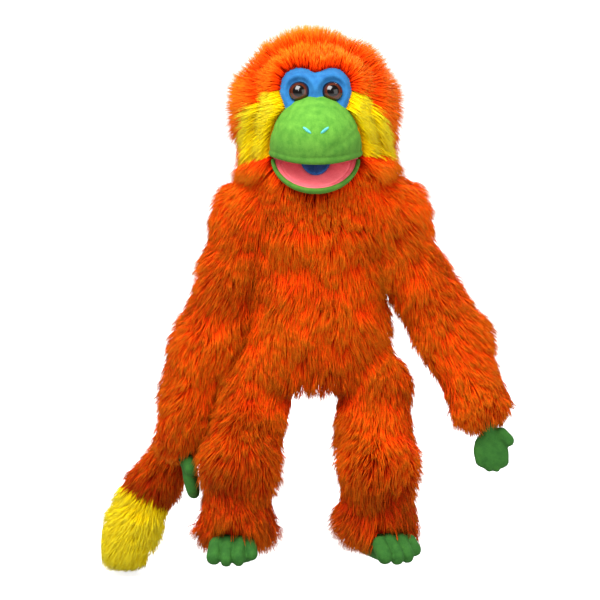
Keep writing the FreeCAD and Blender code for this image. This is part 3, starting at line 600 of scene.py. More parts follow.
def new_object(name, mesh):
    item = bpy.data.objects.new(name, mesh)
    bpy.context.scene.collection.objects.link(item)
    return item


def raw_mesh(name, points, quads, tris, quad_uv=None, tri_uv=None):
    """A mesh from arrays, in millimetres, with optional surface coordinates."""
    mesh = bpy.data.meshes.new(name)
    mesh.vertices.add(len(points))
    mesh.vertices.foreach_set("co", (points * MM).astype(np.float32).ravel())
    mesh.loops.add(quads.size + tris.size)
    mesh.loops.foreach_set("vertex_index", np.concatenate([quads.ravel(), tris.ravel()]).astype(np.int32))
    mesh.polygons.add(len(quads) + len(tris))
    starts = np.concatenate([np.arange(len(quads)) * 4, quads.size + np.arange(len(tris)) * 3])
    mesh.polygons.foreach_set("loop_start", starts.astype(np.int32))
    mesh.update(calc_edges=True)
    mesh.validate()
    mesh.polygons.foreach_set("use_smooth", np.ones(len(mesh.polygons), bool))
    if quad_uv is not None:
        layer = mesh.uv_layers.new(name="OFBake")
        layer.data.foreach_set("uv", np.concatenate([quad_uv, tri_uv]).astype(np.float32).ravel())
    return mesh


def fur_piece(name, points, quads, strands, material):
    """One piece: its patch of backing cloth and the strands that grow from it."""
    used = np.unique(quads)
    remap = np.zeros(len(points), int)
    remap[used] = np.arange(len(used))
    skin_points = points[used]
    skin_quads = remap[quads]
    hair_points, hair_quads, hair_tris, quad_uv, tri_uv = strands
    shift = len(skin_points)
    corner_u = np.array([-1, 1, 1, -1]) * UV_HALF + 0.5
    corner_v = np.array([0.01, 0.01, 0.03, 0.03])
    skin_uv = np.tile(np.stack([corner_u, corner_v], 1), (len(skin_quads), 1))
    mesh = raw_mesh(
        name,
        np.concatenate([skin_points, hair_points]),
        np.concatenate([skin_quads, hair_quads + shift]),
        hair_tris + shift,
        np.concatenate([skin_uv, quad_uv]),
        tri_uv,
    )
    mesh.materials.append(material)
    return new_object(name, mesh)


# ---------------------------------------------------------------- materials

def srgb(r, g, b):
    """A colour given as 0-255 display values, as linear RGBA."""
    linear = [((c / 255 + 0.055) / 1.055) ** 2.4 if c > 10 else c / 255 / 12.92 for c in (r, g, b)]
    return (*linear, 1.0)


def set_inputs(tree, node, inputs):
    """Give each named input a value, or a link where another node's output is given."""
    for key, value in inputs.items():
        if isinstance(value, bpy.types.NodeSocket):
            tree.links.new(value, node.inputs[key])
        else:
            node.inputs[key].default_value = value


def add_node(tree, kind, inputs, **settings):
    """A new node with its settings and inputs; its first output is what most callers want."""
    node = tree.nodes.new(kind)
    for key, value in settings.items():
        setattr(node, key, value)
    set_inputs(tree, node, inputs)
    return node


def add_ramp(tree, factor, stops):
    ramp = add_node(tree, "ShaderNodeValToRGB", {0: factor})
    elements = ramp.color_ramp.elements
    while len(elements) < len(stops):
        elements.new(0.5)
    for element, (place, colour) in zip(elements, stops):
        element.position = place
        element.color = colour
    return ramp.outputs[0]


def new_material(name):
    material = bpy.data.materials.new(name)
    material.use_nodes = True
    tree = material.node_tree
    return material, tree, tree.nodes["Principled BSDF"]


def fur_material(name, root_to_tip, dark_to_light):
    """Colour along each strand (root to tip), times its own shade, both from the surface coordinates."""
    material, tree, shader = new_material(name)
    uv = add_node(tree, "ShaderNodeUVMap", {}, uv_map="OFBake")
    split = add_node(tree, "ShaderNodeSeparateXYZ", {0: uv.outputs[0]})
    colours = [(place, srgb(*colour)) for place, colour in root_to_tip]
    along = add_ramp(tree, split.outputs["Y"], colours)
    shade = add_ramp(tree, split.outputs["X"], dark_to_light)
    mix = add_node(
        tree, "ShaderNodeMix", {"Factor": 1.0, "A": along, "B": shade},
        data_type="RGBA", blend_type="MULTIPLY")
    set_inputs(tree, shader, {
        "Base Color": mix.outputs["Result"], "Roughness": 0.55, "Specular IOR Level": 0.04,
    })
    return material


def paint_shade_below(tree, place, colour, low, high, shade):
    """Painted shade: darken a colour towards height low, in metres, and leave it clear from height high up."""
    split = add_node(tree, "ShaderNodeSeparateXYZ", {0: place})
    fade = add_node(
        tree, "ShaderNodeMapRange",
        {"From Min": low, "From Max": high, "To Min": shade, "Value": split.outputs["Z"]},
        interpolation_type="SMOOTHSTEP")
    scaled = add_node(tree, "ShaderNodeVectorMath", {0: colour, "Scale": fade.outputs[0]}, operation="SCALE")
    return scaled.outputs[0]


def cloth_material(
        name, dark, light, grain, sheen, roughness=0.85, bump=0.25, stretch=(1, 1, 1), below=None):
    """Napped or woven cloth: two shades of a colour in a fine grain and in slow drifts, with a soft nap, and
    painted shade towards the bottom where below is given.
    """
    material, tree, shader = new_material(name)
    place = add_node(tree, "ShaderNodeTexCoord", {}).outputs["Object"]
    mapped = add_node(tree, "ShaderNodeMapping", {"Vector": place, "Scale": stretch}).outputs[0]
    fine = add_node(tree, "ShaderNodeTexNoise", {"Vector": mapped, "Scale": grain, "Detail": 4.0})
    slow = add_node(tree, "ShaderNodeTexNoise", {"Vector": mapped, "Scale": grain / 14, "Detail": 2.0})
    drift = add_node(tree, "ShaderNodeMath", {0: slow.outputs["Fac"], 1: 0.4}, operation="MULTIPLY")
    both = add_node(
        tree, "ShaderNodeMath", {0: fine.outputs["Fac"], 1: 0.6, 2: drift.outputs[0]},
        operation="MULTIPLY_ADD")
    colour = add_ramp(tree, both.outputs[0], [(0.34, srgb(*dark)), (0.66, srgb(*light))])
    # painted shade: the colour darkens towards the bottom
    if below:
        colour = paint_shade_below(tree, place, colour, *below)
    relief = add_node(
        tree, "ShaderNodeBump", {"Strength": bump, "Distance": 0.0006, "Height": fine.outputs["Fac"]})
    set_inputs(tree, shader, {
        "Base Color": colour, "Roughness": roughness, "Specular IOR Level": 0.2,
        "Sheen Weight": sheen, "Sheen Roughness": 0.35, "Sheen Tint": srgb(*light),
        "Normal": relief.outputs[0],
    })
    return material


def iris_material(name, centre, facing):
    """A glossy plastic eye, painted in rings: black pupil, brown iris with fine spokes, black rim."""
    material, tree, shader = new_material(name)
    place = add_node(tree, "ShaderNodeTexCoord", {}).outputs["Object"]
    shift = add_node(tree, "ShaderNodeVectorMath", {0: place, 1: centre}, operation="SUBTRACT")
    cross = add_node(
        tree, "ShaderNodeVectorMath", {0: shift.outputs[0], 1: facing}, operation="CROSS_PRODUCT")
    length = add_node(tree, "ShaderNodeVectorMath", {0: cross.outputs[0]}, operation="LENGTH")
    spokes = add_node(tree, "ShaderNodeTexNoise", {"Vector": place, "Scale": 900})
    wobble = add_node(
        tree, "ShaderNodeMath", {0: spokes.outputs["Fac"], 1: 0.0012, 2: length.outputs["Value"]},
        operation="MULTIPLY_ADD")
    scaled = add_node(
        tree, "ShaderNodeMath", {0: wobble.outputs[0], 1: 1 / IRIS_REACH}, operation="MULTIPLY")
    rings = add_ramp(tree, scaled.outputs[0], [
        (0.0, srgb(5, 3, 3)), (0.56, srgb(8, 4, 4)), (0.64, srgb(84, 32, 8)),
        (0.78, srgb(66, 22, 6)), (0.86, srgb(34, 12, 6)), (0.92, srgb(6, 4, 4)),
    ])
    set_inputs(tree, shader, {
        "Base Color": rings, "Roughness": 0.25, "Specular IOR Level": 0.2,
        "Coat Weight": 1.0, "Coat Roughness": 0.03,
    })
    return material


# metres from the eye's axis to the outside of its painted rings
IRIS_REACH = 0.0125
# painted shade on the muzzle, standing in for the light from above: it darkens from the second height to the first
# (metres), by the third
MUZZLE_PAINTED_SHADE = (0.268, 0.310, 0.62)
# colours from a strand's root to its tip, and factors from the darkest strand to the lightest
ORANGE = ((0.0, (200, 22, 0)), (0.25, (250, 50, 0)), (0.60, (255, 86, 0)), (1.0, (255, 160, 30)))
ORANGE_SHADES = (
    (0.0, (0.34, 0.22, 0.30, 1)), (0.30, (0.62, 0.50, 0.50, 1)),
    (0.55, (0.86, 0.80, 0.80, 1)), (1.0, (1, 1, 1, 1)),
)
YELLOW = ((0.0, (246, 160, 0)), (0.25, (255, 206, 0)), (0.60, (255, 230, 10)), (1.0, (255, 244, 70)))
YELLOW_SHADES = ((0.0, (0.62, 0.5, 0.4, 1)), (0.5, (0.9, 0.86, 0.8, 1)), (1.0, (1, 1, 1, 1)))
# cloth: darker shade, lighter shade, grain, sheen, and what differs from plain plush
CLOTHS = {
    "blue_plush": ((24, 84, 140), (46, 118, 172), 1700, 0.3, {}),
    "green_plush": ((59, 122, 32), (104, 163, 55), 1700, 0.3, {"below": MUZZLE_PAINTED_SHADE}),
    # painted shade: the paws' plush is the same green plush made darker
    "paw_plush": ((29, 76, 24), (52, 106, 37), 1700, 0.3, {}),
    "pink_lining": ((228, 100, 110), (248, 128, 136), 1200, 0.2, {}),
    "navy_felt": ((24, 70, 132), (48, 110, 180), 1200, 0.2, {}),
    "satin_thread": (
        (54, 150, 150), (112, 206, 206), 700, 0.1, {"roughness": 0.3, "bump": 0.5, "stretch": (1, 1, 5)}),
    "stuffing": ((214, 210, 200), (244, 242, 236), 160, 0.3, {}),
    "sleeve_lining": (
        (206, 66, 8), (236, 98, 20), 700, 0.1, {"roughness": 0.7, "bump": 0.4, "stretch": (1, 1, 0.4)}),
    "mouth_board": ((96, 88, 78), (134, 124, 108), 240, 0.0, {"roughness": 0.8, "bump": 0.2}),
    "washer_plastic": ((222, 222, 218), (244, 244, 240), 300, 0.0, {"roughness": 0.45, "bump": 0.1}),
}


def make_materials():
    made = {
        "orange_fur": fur_material("orange_fur", ORANGE, ORANGE_SHADES),
        "yellow_fur": fur_material("yellow_fur", YELLOW, YELLOW_SHADES),
    }
    for name, (dark, light, grain, sheen, other) in CLOTHS.items():
        made[name] = cloth_material(name, dark, light, grain, sheen, **other)
    return made


def dress_nodes(materials):
    """Give every carried-over node the finish of its slot in the record."""
    for part in frame["record"]["subparts"]:
        node = frame["nodes"][part["node"]]
        if part["material_slot"] in materials:
            node.data.materials.clear()
            node.data.materials.append(materials[part["material_slot"]])


# ---------------------------------------------------------------- growing the fur

FIRST_SEED = 100
NET_STEP = 5.0
THINNING = 1.0
STRAND_RADIUS = 0.52
# the strands' points stay inside this box
SPREAD_LOW = np.array([-255.5, -126.0, -243.0])
SPREAD_HIGH = np.array([248.0, 105.0, 415.0])


def body_comb(p):
    """The way the fur lies, mixed from the nearest parts; a forearm and a leg don't comb each other."""
    rows = all_distances(p)
    share = np.exp((rows.min(0) - rows) / COMB_SOFTNESS)
    own = rows.argmin(0)
    share = share * ~(IS_FOREARM[:, None] & IS_LOWER[own]) * ~(IS_LOWER[:, None] & IS_FOREARM[own])
    return unit((share / share.sum(0)).T @ COMBS)


def head_comb(p):
    """Head hair fans out from the face, up over the crown and down the back; cheek hair sweeps down."""
    away = unit(p - (HEAD_CENTRE + np.array([0, -46.0, 2.0])))
    back = smoothstep(p[:, 1], -6, 60)[:, None]
    fan = unit(away * (1 - 0.7 * back) + DOWN * back)
    sweep = unit(np.stack([np.sign(p[:, 0]) * 0.84, np.full(len(p), 0.05), np.full(len(p), -0.46)], 1))
    cheek = (1 - smoothstep(cheek_band(p), -2, 16))[:, None] * (p[:, 1] < 20)[:, None]
    jowl = (1 - smoothstep(p[:, 2], 258, 280))[:, None]
    return unit((fan * (1 - cheek) + sweep * cheek) * (1 - 0.8 * jowl) + DOWN * jowl)


def in_surface(way, normal):
    return unit(way - normal * (way * normal).sum(1, keepdims=True))


def shade_of(root, rng, with_painted_shade=True):
    """Each strand's place on the dark-to-light scale: its own tone, and where asked, painted shade towards the
    legs and below the head.
    """
    drift = smooth_noise(root, 60, 21)[:, 0] * 0.10 + smooth_noise(root, 17, 22)[:, 0] * 0.07
    value = 0.70 + drift + rng.normal(size=len(root)) * 0.13
    if with_painted_shade:
        # painted shade for the light from above: strands darken towards the legs and below the head
        value -= 0.26 * (1 - smoothstep(root[:, 2], -190, 60))
        value -= 0.22 * (1 - smoothstep(root[:, 2], 180, 300))
    return np.clip(value, 0.03, 0.97)


# region: strands per square millimetre, length, lift, droop, how strongly locks are drawn together
FURRING = {
    "chest_left": (0.44, 35, 0.74, 0.35, 0.58), "chest_right": (0.44, 35, 0.74, 0.35, 0.58),
    "back_left": (0.32, 35, 0.74, 0.35, 0.58), "back_right": (0.32, 35, 0.74, 0.35, 0.58),
    "collar": (0.44, 33, 0.80, 0.4, 0.5), "nape": (0.44, 32, 0.85, 0.45, 0.45),
    "cheeks": (1.10, 40, 0.70, 0.02, 0.30),
    "head_front": (0.80, 40, 1.25, 0.0, 0.26), "head_back": (0.46, 38, 1.0, 0.25, 0.38),
    "shoulder": (0.44, 34, 0.78, 0.2, 0.55), "armpit": (0.44, 34, 0.78, 0.15, 0.55),
    "elbow": (0.44, 34, 0.78, 0.15, 0.55), "forearm": (0.50, 34, 0.80, 0.1, 0.52),
    "hip": (0.42, 34, 0.78, 0.2, 0.55), "thigh": (0.42, 34, 0.78, 0.15, 0.55),
    "knee": (0.44, 34, 0.78, 0.15, 0.55), "shin": (0.52, 34, 0.85, 0.05, 0.5),
    "tail_root": (0.46, 28, 0.65, 0.1, 0.5), "tail_cap": (0.46, 28, 0.65, 0.1, 0.5),
    "tail_curl": (0.46, 28, 0.66, 0.1, 0.5), "tail_end": (0.46, 28, 0.66, 0.1, 0.5),
    "tail_tip": (0.80, 34, 0.72, 0.0, 0.36),
}


def in_hard_places(region, kind, paths):
    """Strands that would reach into the opened mouth, or that lie inside a paw."""
    if kind in ("forearm", "shin"):
        word = region.split("_")[0]
        paw = hand_distance(word) if kind == "forearm" else foot_distance(word)
        buried = np.any([paw(paths[:, k]) < -2 for k in range(1, RINGS + 1)], axis=0)
        return (paw(paths[:, 0]) < 2) | buried
    if kind in ("head_front", "cheeks", "nape", "collar", "chest_left", "chest_right"):
        return np.any([in_jaw_sweep(paths[:, k], JAW_SPARE) for k in range(RINGS + 1)], axis=0)
    return np.zeros(len(paths), bool)


def grow(region, points, quads, seed):
    rng = np.random.default_rng(seed)
    kind = region.split("_", 1)[1] if region.split("_", 1)[0] in SIDES else region
    density, length, lift, droop, pull = FURRING[kind]
    root = scatter(points, quads, density * THINNING, rng)
    on_head = region.startswith("head") or region == "cheeks"
    if on_head:
        root = root[~in_muzzle(root, -1) & ~in_mask(root, -3)]
    normal = form_normal(root)
    comb = in_surface(head_comb(root) if on_head else body_comb(root), normal)
    lengths = length * rng.uniform(0.72, 1.08, len(root))
    lifts = lift * rng.uniform(0.8, 1.2, len(root))
    if kind == "shin":
        ankle = LEG[region.split("_")[0]][2]
        cuff = 1 - smoothstep(root[:, 2], ankle[2] + 18, ankle[2] + 56)
        lengths, lifts = lengths * (1 + 0.30 * cuff), lifts * (1 + 0.25 * cuff)
        lengths = np.minimum(lengths, np.maximum(7, (root[:, 2] - ankle[2] + 29) / 0.85))
    if kind == "forearm":
        elbow, wrist = ARM[region.split("_")[0]][1:]
        reach = np.linalg.norm(wrist - elbow)
        cuff = smoothstep(along_from(root, elbow, wrist), reach - 44, reach)
        lengths, lifts = lengths * (1 - 0.28 * cuff), lifts * (1 + 0.3 * cuff)
    if on_head:
        face = (root[:, 1] < -20) & (in_mask(root, 12) | in_muzzle(root, 12))
        lengths = np.where(face, lengths * 0.55, lengths)
    if region in ("collar", "nape") or region.startswith("chest"):
        under_chin = (root[:, 1] < 0) & (root[:, 2] > 190) & (np.abs(root[:, 0]) < 56)
        lengths = np.where(under_chin, lengths * 0.72, lengths)
    paths = strand_paths(root, normal, comb, lengths, lifts, droop, rng)
    paths = clumped(paths, pull, rng)
    paths = keep_outside(paths, 2.0)
    paths = np.clip(paths, SPREAD_LOW, SPREAD_HIGH)
    kept = ~in_hard_places(region, kind, paths)
    root, paths = root[kept], paths[kept]
    radius = STRAND_RADIUS * rng.uniform(0.75, 1.2, len(root))
    return strand_mesh(paths, radius, shade_of(root, rng, kind != "tail_tip"), rng)


def fur_slot(name):
    return "yellow_fur" if name in ("tail_tip", "cheeks") else "orange_fur"


def centre_of(points, quads):
    return points[quads].mean(1)


def make_fur(materials):
    low = np.array([-252.0, -100.0, -226.0])
    high = np.array([222.0, 92.0, 392.0])
    points, quads = surface_net(form_distance, low, high, NET_STEP)
    middle = centre_of(points, quads)
    opening = np.hypot(middle[:, 0], middle[:, 1]) < SLEEVE_RADIUS + 3
    opening &= np.abs(middle[:, 2] - BODY_LOW[2]) < 14
    quads = quads[~opening & ~under_muzzle(middle, -9) & ~in_jaw_sweep(middle, JAW_SPARE)]
    region = region_names(centre_of(points, quads))
    pieces = {}
    for seed, name in enumerate(sorted(set(region))):
        patch = quads[region == name]
        strands = grow(name, points, patch, FIRST_SEED + seed)
        pieces[name] = fur_piece(f"fur_{name}", points, patch, strands, materials[fur_slot(name)])
    return pieces


def fasten_limb(fur, bodies):
    """The first three pieces of a limb's fur have their placement baked in, and the last rides on its last body.
    """
    bend(fur[0])
    bend(fur[1])
    bend(fur[2])
    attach(fur[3], bodies[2])


def fasten_fur(pieces):
    """Let some pieces of fur ride on their bodies, and bake the placement of the rest."""
    for name in ("chest_left", "chest_right", "back_left", "back_right"):
        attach(pieces[name], "torso")
    for name in ("head_front", "head_back", "cheeks"):
        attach(pieces[name], "head")
    bend(pieces["collar"])
    bend(pieces["nape"])
    for word in SIDES:
        for joints, _, fur, bodies, spans, _, _ in LIMBS:
            fasten_limb([pieces[f"{word}_{name}"] for name in fur],
                        [f"{word}_{name}" for name in bodies])
    bend(pieces["tail_root"])
    bend(pieces["tail_cap"])
    bend(pieces["tail_curl"])
    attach(pieces["tail_end"], "tail_end")
    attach(pieces["tail_tip"], "tail_end")


def bend(piece):
    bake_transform(piece)


def stand_for_nodes():
    """The CAD skins and fillings that the fur pieces take the place of."""
    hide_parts("body_skin", "body_stuffing")
    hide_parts("neck_skin")
    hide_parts("head_fur_skin")
    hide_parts("left_cheek", "right_cheek")
    for word in SIDES:
        for piece, node in (
            ("armpit", "upper_arm"), ("forearm", "forearm"), ("thigh", "thigh"), ("shin", "shin"),
        ):
            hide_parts(f"{word}_{node}_skin", f"{word}_{node}_stuffing")
    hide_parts("tail_base_skin", "tail_base_stuffing")
    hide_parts("tail_end_skin", "tail_end_stuffing")
    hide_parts("tail_tip_skin")


# ---------------------------------------------------------------- short-piled and sewn parts

def net_piece(name, distance, low, high, step, body, slot, stands_for, place=None, material=None):
    """A piece made as the surface of a distance function, with the body and CAD nodes it belongs to."""
    points, quads = surface_net(distance, np.array(low, float), np.array(high, float), step)
    if place is not None:
        points = place(points)
    mesh = raw_mesh(name, points, quads, np.zeros((0, 3), int))
    mesh.materials.append(MATERIALS[material or slot])
    piece = new_object(name, mesh)
    return piece, body, stands_for


def settle(piece, body, stands_for):
    """Let a finished piece ride on its body and take the place of its CAD nodes."""
    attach(piece, body)
    if stands_for:
        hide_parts(*stands_for)


def swell(piece, pressure, cap):
    """Fill a closed cloth form with air and hold every point within cap of its sewn pattern."""
    rest = np.array([v.co for v in piece.data.vertices])
    cloth = piece.modifiers.new("cloth", "CLOTH")
    cloth.settings.use_pressure = True
    cloth.settings.uniform_pressure_force = pressure
    cloth.settings.effector_weights.gravity = 0
    for frame_number in range(1, 21):
        bpy.context.scene.frame_set(frame_number)
    shown = piece.evaluated_get(bpy.context.evaluated_depsgraph_get())
    moved = np.array([v.co for v in shown.data.vertices])
    piece.modifiers.remove(cloth)
    bpy.context.scene.frame_set(1)
    step = moved - rest
    length = np.linalg.norm(step, axis=1, keepdims=True)
    step *= np.minimum(1, cap * MM / np.maximum(length, 1e-9))
    piece.data.vertices.foreach_set("co", (rest + step).astype(np.float32).ravel())
    piece.data.update()


def smooth_once(piece):
    """One level of subdivision, applied."""
    modifier = piece.modifiers.new("smooth", "SUBSURF")
    modifier.levels = 1
    modifier.render_levels = 1
    shown = piece.evaluated_get(bpy.context.evaluated_depsgraph_get())
    finer = bpy.data.meshes.new_from_object(shown)
    piece.modifiers.remove(modifier)
    piece.data = finer


MUZZLE_CENTRE = np.array([0.0, MUZZLE_LOW[1] + 62.0, LIP_HEIGHT + 7.0])
MUZZLE_HALVES = np.array([53.0, 62.0, 64.0])
COVER_STEP = 1.5
LIP_ROLL = 3.4
HEM_ABOVE_LIP = 5.6
COVER_THICKNESS = 4.6


def lip_height(p):
    """The upper lip's edge; it sags a little in the middle of the front."""
    front = smoothstep(-p[:, 1], 60, 112)
    return LIP_HEIGHT + 1.0 - 4.5 * front * (1 - np.square(p[:, 0] / 54).clip(0, 1))


def muzzle_distance(p):
    dome = ellipsoid_distance(p, MUZZLE_CENTRE, MUZZLE_HALVES)
    lip = lip_height(p)
    above = p[:, 2] - lip
    hem = above - HEM_ABOVE_LIP - 0.6 * np.sin(p[:, 0] / 13 + 0.6)
    seams = groove(hem, 1.1, 1.1) + groove(p[:, 0] - 1.0, 1.0, 0.6)
    fold = groove(above - 12 - 0.5 * (p[:, 0] - 14) - np.sin(p[:, 0] / 9), 4.0, 1.3)
    fold *= smoothstep(p[:, 0], 6, 24)
    fold += groove(above - 20 - 0.7 * (p[:, 0] - 20), 4.0, 0.9) * smoothstep(p[:, 0], 12, 28)
    fold += groove(above - 15 + 0.3 * p[:, 0], 5.0, 0.8) * smoothstep(-p[:, 0], 12, 36)
    fold *= 1 - smoothstep(above, 28, 46)
    outside = dome + seams + fold
    shell = soft_max([outside, -(dome + COVER_THICKNESS), lip - p[:, 2]], 0.5)
    roll = np.hypot(dome + LIP_ROLL * 0.75, above - 1.5) - LIP_ROLL
    cover = soft_min([shell, roll], 0.8)
    sunk = -(head_distance(p) + 9)
    return np.maximum(cover, sunk)


def make_muzzle_piece():
    low = MUZZLE_CENTRE - MUZZLE_HALVES - [3, 4, 0]
    low[2] = LIP_HEIGHT - 9
    high = MUZZLE_CENTRE + MUZZLE_HALVES + [3, -20, 3]
    return net_piece(
        "muzzle", muzzle_distance, low, high, COVER_STEP, "head", "green_plush", ["muzzle_cover"])


CHIN_ROLL = 2.4
CHIN_THICKNESS = 3.4
WEB_RADIUS, WEB_HALF_X = 33.0, 50.0
WEB_FROM, WEB_TO = math.radians(12), math.radians(108)


def from_jaw_frame(q):
    """Points given across, forward and up in the jaw's frame, as points in the puppet's frame."""
    c, s = math.cos(JAW_ANGLE), math.sin(JAW_ANGLE)
    return JAW_HINGE + np.stack([q[:, 0], -q[:, 1] * c - q[:, 2] * s, -q[:, 1] * s + q[:, 2] * c], 1)


def chin_distance(q):
    x, forward, up = q.T
    bowl = ellipsoid_distance(q, np.zeros(3), np.array([JAW_HALF_X, JAW_LENGTH, CHIN_DEPTH]))
    seams = groove(up + 7.5, 1.1, 0.9) + groove(x, 0.9, 0.5)
    shell = soft_max([bowl + seams, -(bowl + CHIN_THICKNESS), up], 0.5)
    edge = oval_distance(x, forward, JAW_HALF_X, JAW_LENGTH)
    roll = np.hypot(edge + CHIN_ROLL * 0.8, up - 0.4) - CHIN_ROLL
    return np.maximum(soft_min([shell, roll], 0.7), 4 - forward)


def floor_distance(q):
    """The soft pink lining inside the jaw, with a stitched line near its edge."""
    x, forward, up = q.T
    edge = oval_distance(x, forward, JAW_HALF_X - 2, JAW_LENGTH - 2)
    top = up + 0.2 * smoothstep(-edge, 0, 12) + groove(edge + 8.5, 0.9, 0.7)
    return soft_max([edge, top, -up - 1.3, 3.2 - forward], 0.15)


def tongue_distance(q):
    x, forward, up = q.T
    edge = oval_distance(x, forward, 19.5, 36.5)
    body = soft_max([edge + 1.2, np.abs(up - 2.2) - 2.0, 3.5 - forward], 0.8)
    return body + groove(x, 1.0, 0.8) * smoothstep(up, 1, 3)


def make_jaw_pieces():
    made = []
    for name, distance, low, high, step, slot, node in (
        ("chin", chin_distance, [-56, 0, -24], [56, 70, 6], COVER_STEP, "green_plush", "chin_cover"),
        ("mouth_floor", floor_distance, [-52, 0, -3], [52, 66, 2], 0.9, "pink_lining", "mouth_floor_lining"),
        ("tongue_pad", tongue_distance, [-19, 1, -1], [19, 39, 6], 1.0, "navy_felt", "tongue"),
    ):
        made.append(net_piece(name, distance, low, high, step, "jaw", slot, [node], from_jaw_frame))
    return made


def make_mouth_fold():
    """The lining's fold across the back of the mouth, which joins the palate to the jaw's lining."""
    top_back = np.array([JAW_HINGE[1] - 3.0, LIP_HEIGHT + 1.0])
    bottom_back = np.array([JAW_HINGE[1] - 3.0, JAW_HINGE[2] - 3.2])

    def distance(p):
        q = p[:, 1:]
        deep = JAW_HINGE[1] + 1.2 - np.square(p[:, 0] / 46) * 2
        bend_line = np.clip((q[:, 1] - bottom_back[1]) / (top_back[1] - bottom_back[1]), 0, 1)
        middle = bottom_back[0] + (deep - bottom_back[0]) * np.sin(math.pi * bend_line)
        wall = np.abs(q[:, 0] - middle) - 0.9
        ends = np.maximum(q[:, 1] - top_back[1], bottom_back[1] - q[:, 1])
        return soft_max([wall, ends, np.abs(p[:, 0]) - 49], 0.3)

    low = [-52, JAW_HINGE[1] - 7, JAW_HINGE[2] - 7]
    high = [52, JAW_HINGE[1] + 5, LIP_HEIGHT + 4]
    fold = net_piece("mouth_fold", distance, low, high, 1.4, None, "pink_lining", [])[0]
    bend(fold)


def make_throat_web():
    """A curved web of backing cloth behind the chin, which closes the throat as the jaw moves."""
    def distance(q):
        x, forward, up = q.T
        angle, reach = np.arctan2(-up, forward), np.hypot(forward, up)
        wall = np.abs(np.hypot(reach, x * WEB_RADIUS / WEB_HALF_X) - WEB_RADIUS) - 0.9
        ends = reach * np.maximum(WEB_FROM - angle, angle - WEB_TO)
        return soft_max([wall, ends, 2 - reach], 0.3)

    low = [-WEB_HALF_X - 2, -20, -WEB_RADIUS - 3]
    high = [WEB_HALF_X + 2, WEB_RADIUS + 3, 2]
    settle(*net_piece(
        "throat_web", distance, low, high, 1.3, "jaw", "sleeve_lining", [], from_jaw_frame))


def mask_distance(p):
    """A padded velour mask: two round brows, sunken sockets and a narrower lower edge."""
    x, z = np.abs(p[:, 0]), p[:, 2]
    outline = mask_outline(p)
    from_eye = np.hypot(x - EYE_PLATE["left"][0], z - EYE_PLATE["left"][2])
    brow = np.exp(-np.square((from_eye - 19.5) / 5.5)) * smoothstep(z, LOBE_HEIGHT - 8, LOBE_HEIGHT + 10)
    nose = np.exp(-np.square(x / 9.0)) * smoothstep(z, 334, 344) * (1 - smoothstep(z, 346, 360))
    socket = 1 - smoothstep(from_eye, 11.0, 18.5)
    edge = smoothstep(-outline, 0, 7)
    thick = 1.6 + 2.6 * edge * (1 - socket) + (3.0 * brow + 2.4 * nose) * edge - 1.0 * socket
    over = head_distance(p) - thick
    return np.maximum(soft_max([over, outline], 1.2), -(head_distance(p) + 2.5))


def make_mask_piece():
    low = [-46, -78, 308]
    high = [46, -30, 374]
    step = 1.4

    def front_half(p):
        return np.maximum(mask_distance(p), p[:, 1] + 34)

    return net_piece("mask", front_half, low, high, step, "head", "blue_plush", ["eye_mask"])


# how far each paw is turned about the upright, and how far it leans across and forward per mm of depth
HAND_TURN = {"left": 0.0, "right": math.radians(90)}
HAND_LEAN = {"left": (0.10, 0.0), "right": (0.0, -0.16)}
FOOT_TURN = {"left": math.radians(28), "right": math.radians(-4)}
PAW_PRESSURE, PAW_SWELL = 4.0, 1.2


def turned_frame(origin, angle):
    """A function that takes points into a frame turned about the upright through origin."""
    c, s = math.cos(angle), math.sin(angle)
    matrix = np.array([[c, s, 0], [-s, c, 0], [0, 0, 1]])
    return lambda p: (p - origin) @ matrix.T


def hand_distance(word):
    """A flat oval palm with four short finger bumps and a tucked thumb; it leans away from the wrist."""
    side = SIDES[word]
    local = turned_frame(ARM[word][2], HAND_TURN[word])
    lean = HAND_LEAN[word]

    def distance(p):
        q = local(p)
        depth = (-6 - q[:, 2]).clip(0, None)
        q = q - np.stack([lean[0] * depth, lean[1] * depth, np.zeros(len(q))], 1)
        oval = oval_distance(q[:, 0], q[:, 2] + 33, 22.0, 25.0)
        palm = soft_max([oval, np.abs(q[:, 1]) - 7.4], 4.0)
        rows = [palm, capsule_distance(q, [0, 0, 4], [0, 0, -14], 9.5)]
        for step in (-1.5, -0.5, 0.5, 1.5):
            drop = -53.5 + 3.2 * step ** 2
            rows.append(capsule_distance(q, [step * 8.6, 0, -34], [step * 9.4, 0, drop], 5.4))
        thumb = capsule_distance(q, [side * 15, -2, -12], [side * 21.5, -3, -20], 7.8)
        creases = sum(
            groove(q[:, 0] - gap * 8.9, 1.2, 1.3) * smoothstep(-q[:, 2], 36, 46) for gap in (-1, 0, 1))
        inner = smoothstep(-side * q[:, 0], -6, 4)
        creases += groove(q[:, 2] + 22 - 0.25 * side * q[:, 0], 1.4, 0.8) * inner
        return np.minimum(soft_min(rows, 1.3) + creases, thumb)
    return distance


# across, how far forward, how low and how thick each toe is
TOES = (
    (-1.5, -54.5, -23.5, 9.2), (-0.5, -57.5, -24.5, 9.6),
    (0.5, -55.5, -24.0, 9.4), (1.45, -48.5, -20.5, 7.8),
)


def foot_distance(word):
    """A padded sole with four fat toes, deeply creased between them."""
    local = turned_frame(LEG[word][2], FOOT_TURN[word])

    def distance(p):
        q = local(p)
        rows = [rounded_box_distance(q, [0, -14, -19], [25.0, 33, 14], 12.5)]
        rows.append(capsule_distance(q, [0, 0, 2], [0, -4, -14], 17.0))
        for step, front, low, radius in TOES:
            rows.append(capsule_distance(q, [step * 14.0, -38, -12], [step * 15.2, front, low], radius))
        creases = sum(groove(q[:, 0] - gap * 14.8, 1.4, 1.6) for gap in (-1, 0, 1))
        return soft_min(rows, 1.0) + creases * smoothstep(-q[:, 1], 24, 46)
    return distance


